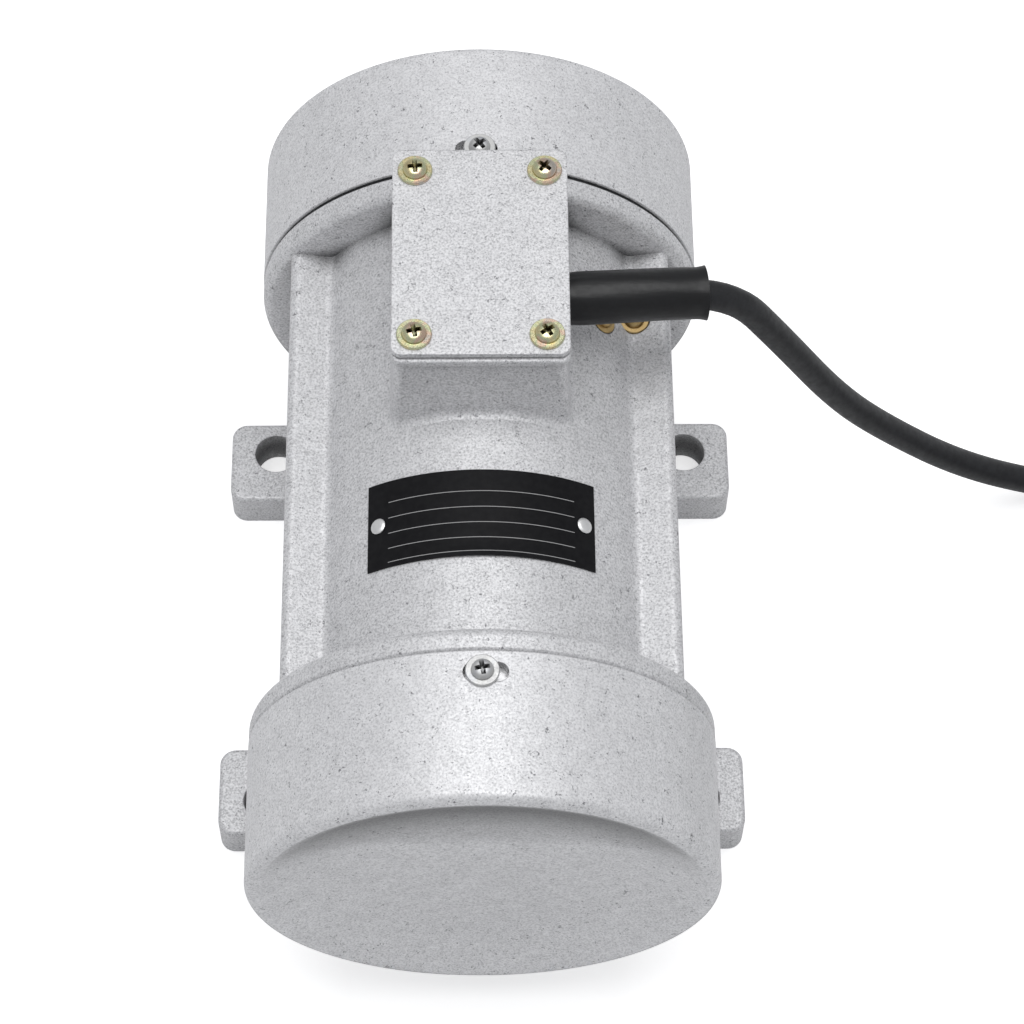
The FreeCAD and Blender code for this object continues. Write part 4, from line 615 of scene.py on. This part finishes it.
def add_nameplate():
    """A thin bent sheet whose lower edge stands a little off the barrel in its middle."""
    low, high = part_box("nameplate")
    columns, rows = 60, 24
    bm = bmesh.new()
    sides = []
    for face in (PLATE_OUTER_FACE, PLATE_INNER_FACE):
        grid = []
        for j in range(rows + 1):
            v = j / rows
            line = []
            for i in range(columns + 1):
                u = 2 * i / columns - 1
                lift = PLATE_LIFT * math.exp(-((u - 0.05) / 0.42) ** 2) * max(0.0, 1 - v * 6.0) ** 1.5
                radius = BARREL_RADIUS + face + lift
                angle = math.radians(PLATE_HALF_ANGLE) * u
                line.append(bm.verts.new((radius * math.sin(angle), low.y + (high.y - low.y) * v,
                                          AXIS_HEIGHT + radius * math.cos(angle))))
            grid.append(line)
        sides.append(grid)
    for grid in sides:
        for j in range(rows):
            for i in range(columns):
                bm.faces.new((grid[j][i], grid[j][i + 1], grid[j + 1][i + 1], grid[j + 1][i]))
    outer, inner = sides
    for j in range(rows):
        for i in (0, columns):
            bm.faces.new((outer[j][i], outer[j + 1][i], inner[j + 1][i], inner[j][i]))
    for i in range(columns):
        for j in (0, rows):
            bm.faces.new((outer[j][i], outer[j][i + 1], inner[j][i + 1], inner[j][i]))
    new_piece("nameplate_sheet", finish_mesh(bm, "nameplate_sheet"), SLOT_MATERIALS["black_plate"],
              "housing", ["nameplate"])


SLEEVE_START = Vector((16.4, 36.5, 151.2)) * MM
SLEEVE_END = Vector((66.5, 41.0, 148.4)) * MM
SLEEVE_RADIUS = 8.1 * MM
SLEEVE_TAPER = 0.4 * MM
SLEEVE_BORE = 4.6 * MM
SLEEVE_ARCH = 0.45 * MM
COLLAR_RADIUS = 9.8 * MM
COLLAR_LENGTH = 3.0 * MM
PINCH_PLACE = 9.5 * MM
PINCH_REACH = 2.6 * MM
PINCH_DEPTH = 0.25 * MM
FLARE_LENGTH = 3.2 * MM
FLARE = 0.5 * MM


def sleeve_profile(run):
    """Places along the sleeve with their radii: out along the skin and back inside the bore."""
    profile = [(0.0, SLEEVE_BORE)]
    steps = 55
    for i in range(steps + 1):
        share = i / steps
        place = share * run
        radius = COLLAR_RADIUS if place < COLLAR_LENGTH else SLEEVE_RADIUS - SLEEVE_TAPER * share
        radius -= PINCH_DEPTH * math.exp(-((place - PINCH_PLACE) / PINCH_REACH) ** 2)
        radius += FLARE * max(0.0, (place - (run - FLARE_LENGTH)) / FLARE_LENGTH) ** 2
        profile.append((place, radius))
    lip = profile[-1][1]
    profile += [
        (run + 0.12 * MM, lip - 0.35 * MM), (run, 6.3 * MM), (run - 0.6 * MM, 6.0 * MM),
        (run - 12.0 * MM, SLEEVE_BORE), (run - 30.0 * MM, SLEEVE_BORE),
    ]
    return profile


def sleeve_wave(place, angle):
    """The skin's slight unevenness, strongest where the box pinches it."""
    pinched = math.exp(-((place - 12.0 * MM) / (6.0 * MM)) ** 2)
    wave = 0.09 * MM * pinched * math.sin(9 * angle + 2.0 * math.sin(3 * angle))
    return wave + 0.06 * MM * math.sin(5 * angle + place * 190.0)


def add_sleeve():
    """A rubber sleeve that arches slightly, is pinched where it leaves the box and flares at its end."""
    run = (SLEEVE_END - SLEEVE_START).length
    along = (SLEEVE_END - SLEEVE_START).normalized()
    side = along.cross(Vector((0, 0, 1))).normalized()
    up = side.cross(along)
    bm = bmesh.new()
    rings = []
    segments = 72
    for place, radius in sleeve_profile(run):
        share = min(1.0, max(0.0, place / run))
        middle = SLEEVE_START + along * place + up * (SLEEVE_ARCH * math.sin(math.pi * share))
        is_skin = radius > 7.0 * MM
        ring = []
        for i in range(segments):
            angle = math.tau * i / segments
            reach = radius + (sleeve_wave(place, angle) if is_skin else 0.0)
            out = side * math.cos(angle) + up * math.sin(angle)
            ring.append(bm.verts.new(middle + out * reach))
        rings.append(ring)
    join_rings(bm, rings, closed=True)
    mesh = finish_mesh(bm, "cable_sleeve_moulded")
    new_piece("cable_sleeve_moulded", mesh, SLOT_MATERIALS["black_rubber"], "housing",
              ["cable_sleeve"])


# the cord's places are in mm; the route has the same corners as in the solid model
CORD_ROUTE = [
    (40.0, 38.62, 149.88), (74.3, 41.7, 147.96), (91.9, 43.3, 118.0), (111.2, 45.2, 82.9),
    (128.0, 47.1, 60.2), (158.5, 50.4, 28.1), (190.0, 53.0, 9.3), (212.0, 54.0, 4.6), (234.0, 54.0, 4.6),
]
TAIL_ROUTE = [
    (320.5, -32.5, 13.7), (320.5, -60.5, 13.7), (307.4, -85.2, 12.9), (284.2, -100.9, 12.1),
    (256.4, -103.8, 12.1),
]
# the sleeve holds the cord straight until shortly before its mouth
HELD_POINT = (43.6, 38.95, 149.68)
COIL_CENTRE = (266.0, -0.5)
COIL_TURN_RADIUS = 50.0
COIL_POINTS_PER_TURN = 16


def coil_points():
    """Four turns wound clockwise: outer and inner below, then inner and outer on top."""
    cord = CORD_DIAMETER / MM
    outer, inner = COIL_TURN_RADIUS + cord / 2, COIL_TURN_RADIUS - cord / 2
    low, high = CORD_ROUTE[-1][2], CORD_ROUTE[-1][2] + cord + 0.1
    stations = [
        (0.0, outer, low), (0.9, outer, low), (1.15, inner, low), (1.9, inner, low),
        (2.15, inner, high), (2.9, inner, high), (3.15, outer, high), (4.25, outer, high),
    ]
    total = stations[-1][0]
    count = int(total * COIL_POINTS_PER_TURN)
    # the spline passes inside its points, so they stand out a little
    stretch = 1 / math.cos(math.pi / COIL_POINTS_PER_TURN) ** 0.5
    points = []
    for i in range(count + 1):
        turn = total * i / count
        for (t0, r0, z0), (t1, r1, z1) in zip(stations, stations[1:]):
            if t0 <= turn <= t1:
                share = (turn - t0) / (t1 - t0)
                share = share * share * (3 - 2 * share)
                radius, height = r0 + (r1 - r0) * share, z0 + (z1 - z0) * share
                break
        angle = math.pi / 2 - math.tau * turn
        points.append((COIL_CENTRE[0] + radius * stretch * math.cos(angle),
                       COIL_CENTRE[1] + radius * stretch * math.sin(angle), height))
    return points


def add_cord():
    """The cord on one smooth spline: from the sleeve to the floor, round the coil and to the plug."""
    points = [CORD_ROUTE[0], HELD_POINT] + CORD_ROUTE[1:] + coil_points() + TAIL_ROUTE
    curve = bpy.data.curves.new("power_cord_laid", "CURVE")
    curve.dimensions = "3D"
    spline = curve.splines.new("NURBS")
    spline.points.add(len(points) - 1)
    for point, place in zip(spline.points, points):
        point.co = (*(part * MM for part in place), 1.0)
    spline.order_u = 3
    spline.use_endpoint_u = True
    curve.resolution_u = 8
    curve.bevel_depth = CORD_DIAMETER / 2
    curve.bevel_resolution = 8
    curve.use_fill_caps = True
    cord = bpy.data.objects.new("power_cord_laid", curve)
    bpy.context.scene.collection.objects.link(cord)
    curve.materials.append(SLOT_MATERIALS["cord_sheath"])
    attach(cord, "housing")
    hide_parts("power_cord", "cord_coil", "cord_tail")
    return cord


# the plug's sizes are in mm
RELIEF_LENGTH = 26.0
RELIEF_RADIUS = 6.5
RELIEF_GROWTH = 3.2
GROOVE_PITCH = 3.6
GROOVE_WIDTH = 1.4
GROOVE_DEPTH = 0.9
GRIP_LENGTH = 30.0
GRIP_HALF_WIDTH = 12.0
GRIP_NECK = 9.7


def plug_sections():
    """Sections along the plug as (place, half width, half height, squareness), in mm."""
    sections = []
    steps = 52
    for i in range(steps + 1):
        place = RELIEF_LENGTH * i / steps
        radius = RELIEF_RADIUS + RELIEF_GROWTH * place / RELIEF_LENGTH
        if 4.0 < place < RELIEF_LENGTH - 3.0 and place % GROOVE_PITCH < GROOVE_WIDTH:
            radius -= GROOVE_DEPTH
        sections.append((place, radius, radius, 2.0))
    steps = 24
    for i in range(steps + 1):
        share = i / steps
        waist = 1.6 * math.sin(math.pi * min(1.0, share * 1.15)) ** 2
        blend = min(1.0, share * 5.0)
        height = GRIP_NECK + (GRIP_HALF_WIDTH - GRIP_NECK) * blend
        edge = 1.0 if share > 0.96 else 0.0
        place = RELIEF_LENGTH + 0.2 + (GRIP_LENGTH - 0.2) * share
        sections.append((place, height - waist - edge, height - edge, 2.0 + 1.6 * blend))
    return sections


def add_plug():
    """A moulded plug: a ribbed, tapered strain relief and a waisted grip."""
    start = Vector(TAIL_ROUTE[-1]) * MM
    along = (start - Vector(TAIL_ROUTE[-2]) * MM).normalized()
    up = Vector((0, 0, 1))
    side = up.cross(along)
    bm = bmesh.new()
    rings = []
    segments = 64
    for place, width, height, power in plug_sections():
        ring = []
        for i in range(segments):
            angle = math.tau * i / segments
            c, s = math.cos(angle), math.sin(angle)
            x = width * math.copysign(abs(c) ** (2 / power), c)
            y = height * math.copysign(abs(s) ** (2 / power), s)
            ring.append(bm.verts.new(start + (along * place + side * x + up * y) * MM))
        rings.append(ring)
    join_rings(bm, rings)
    return new_piece("plug_moulded", finish_mesh(bm, "plug_moulded"), SLOT_MATERIALS["cord_sheath"],
                     "housing", ["plug_body"])


add_cover_screws()
add_earth_screws()
add_cap_screws()
add_rivets()
add_nameplate()
add_sleeve()
cord = add_cord()
plug = add_plug()


# ---------------------------------------------------------------- floor and light

FLOOR_REACH = 4.0
FLOOR_GREY = 0.86
FLOOR_LIFT = 0.55
ROOM_COLOUR = (0.96, 0.97, 1.0, 1)
ROOM_STRENGTH = 0.52
KEY_SIZE = 1.1
KEY_POWER = 11.5


def make_floor():
    """A plain pale floor that shows near white, and keeps the shadow of what stands on it."""
    mesh = bpy.data.meshes.new("floor")
    reach = FLOOR_REACH
    corners = [(-reach, -reach, 0), (reach, -reach, 0), (reach, reach, 0), (-reach, reach, 0)]
    mesh.from_pydata(corners, [], [(0, 1, 2, 3)])
    floor = bpy.data.objects.new("floor", mesh)
    bpy.context.scene.collection.objects.link(floor)
    material = bpy.data.materials.new("floor")
    material.use_nodes = True
    tree = material.node_tree
    tree.nodes.clear()
    output = tree.nodes.new("ShaderNodeOutputMaterial")
    plain = tree.nodes.new("ShaderNodeBsdfDiffuse")
    plain.inputs["Color"].default_value = (FLOOR_GREY, FLOOR_GREY, FLOOR_GREY, 1)
    lift = tree.nodes.new("ShaderNodeEmission")
    add = tree.nodes.new("ShaderNodeAddShader")
    path = tree.nodes.new("ShaderNodeLightPath")
    share = tree.nodes.new("ShaderNodeMath")
    share.operation = "MULTIPLY"
    share.inputs[1].default_value = FLOOR_LIFT
    tree.links.new(path.outputs["Is Camera Ray"], share.inputs[0])
    tree.links.new(share.outputs[0], lift.inputs["Strength"])
    tree.links.new(plain.outputs[0], add.inputs[0])
    tree.links.new(lift.outputs[0], add.inputs[1])
    tree.links.new(add.outputs[0], output.inputs["Surface"])
    mesh.materials.append(material)


def make_world():
    """An even room that lights the object, and plain white where the camera looks past it."""
    world = bpy.data.worlds.new("studio")
    bpy.context.scene.world = world
    world.use_nodes = True
    tree = world.node_tree
    tree.nodes.clear()
    output = tree.nodes.new("ShaderNodeOutputWorld")
    room = tree.nodes.new("ShaderNodeBackground")
    room.inputs["Color"].default_value = ROOM_COLOUR
    room.inputs["Strength"].default_value = ROOM_STRENGTH
    shown = tree.nodes.new("ShaderNodeBackground")
    shown.inputs["Color"].default_value = (1, 1, 1, 1)
    mix = tree.nodes.new("ShaderNodeMixShader")
    path = tree.nodes.new("ShaderNodeLightPath")
    tree.links.new(path.outputs["Is Camera Ray"], mix.inputs[0])
    tree.links.new(room.outputs[0], mix.inputs[1])
    tree.links.new(shown.outputs[0], mix.inputs[2])
    tree.links.new(mix.outputs[0], output.inputs["Surface"])


def softbox(name, place, target, size, power):
    """A square area lamp that faces a target."""
    light = bpy.data.lights.new(name, "AREA")
    light.shape = "SQUARE"
    light.size = size
    light.energy = power
    lamp = bpy.data.objects.new(name, light)
    lamp.location = place
    lamp.rotation_mode = "QUATERNION"
    lamp.rotation_quaternion = (Vector(target) - Vector(place)).to_track_quat("-Z", "Y")
    bpy.context.scene.collection.objects.link(lamp)


make_floor()
make_world()
softbox("key_overhead", (0.0, 0.05, 1.5), (0.0, 0.0, 0.1), KEY_SIZE, KEY_POWER)
bpy.context.scene.view_settings.view_transform = "Standard"
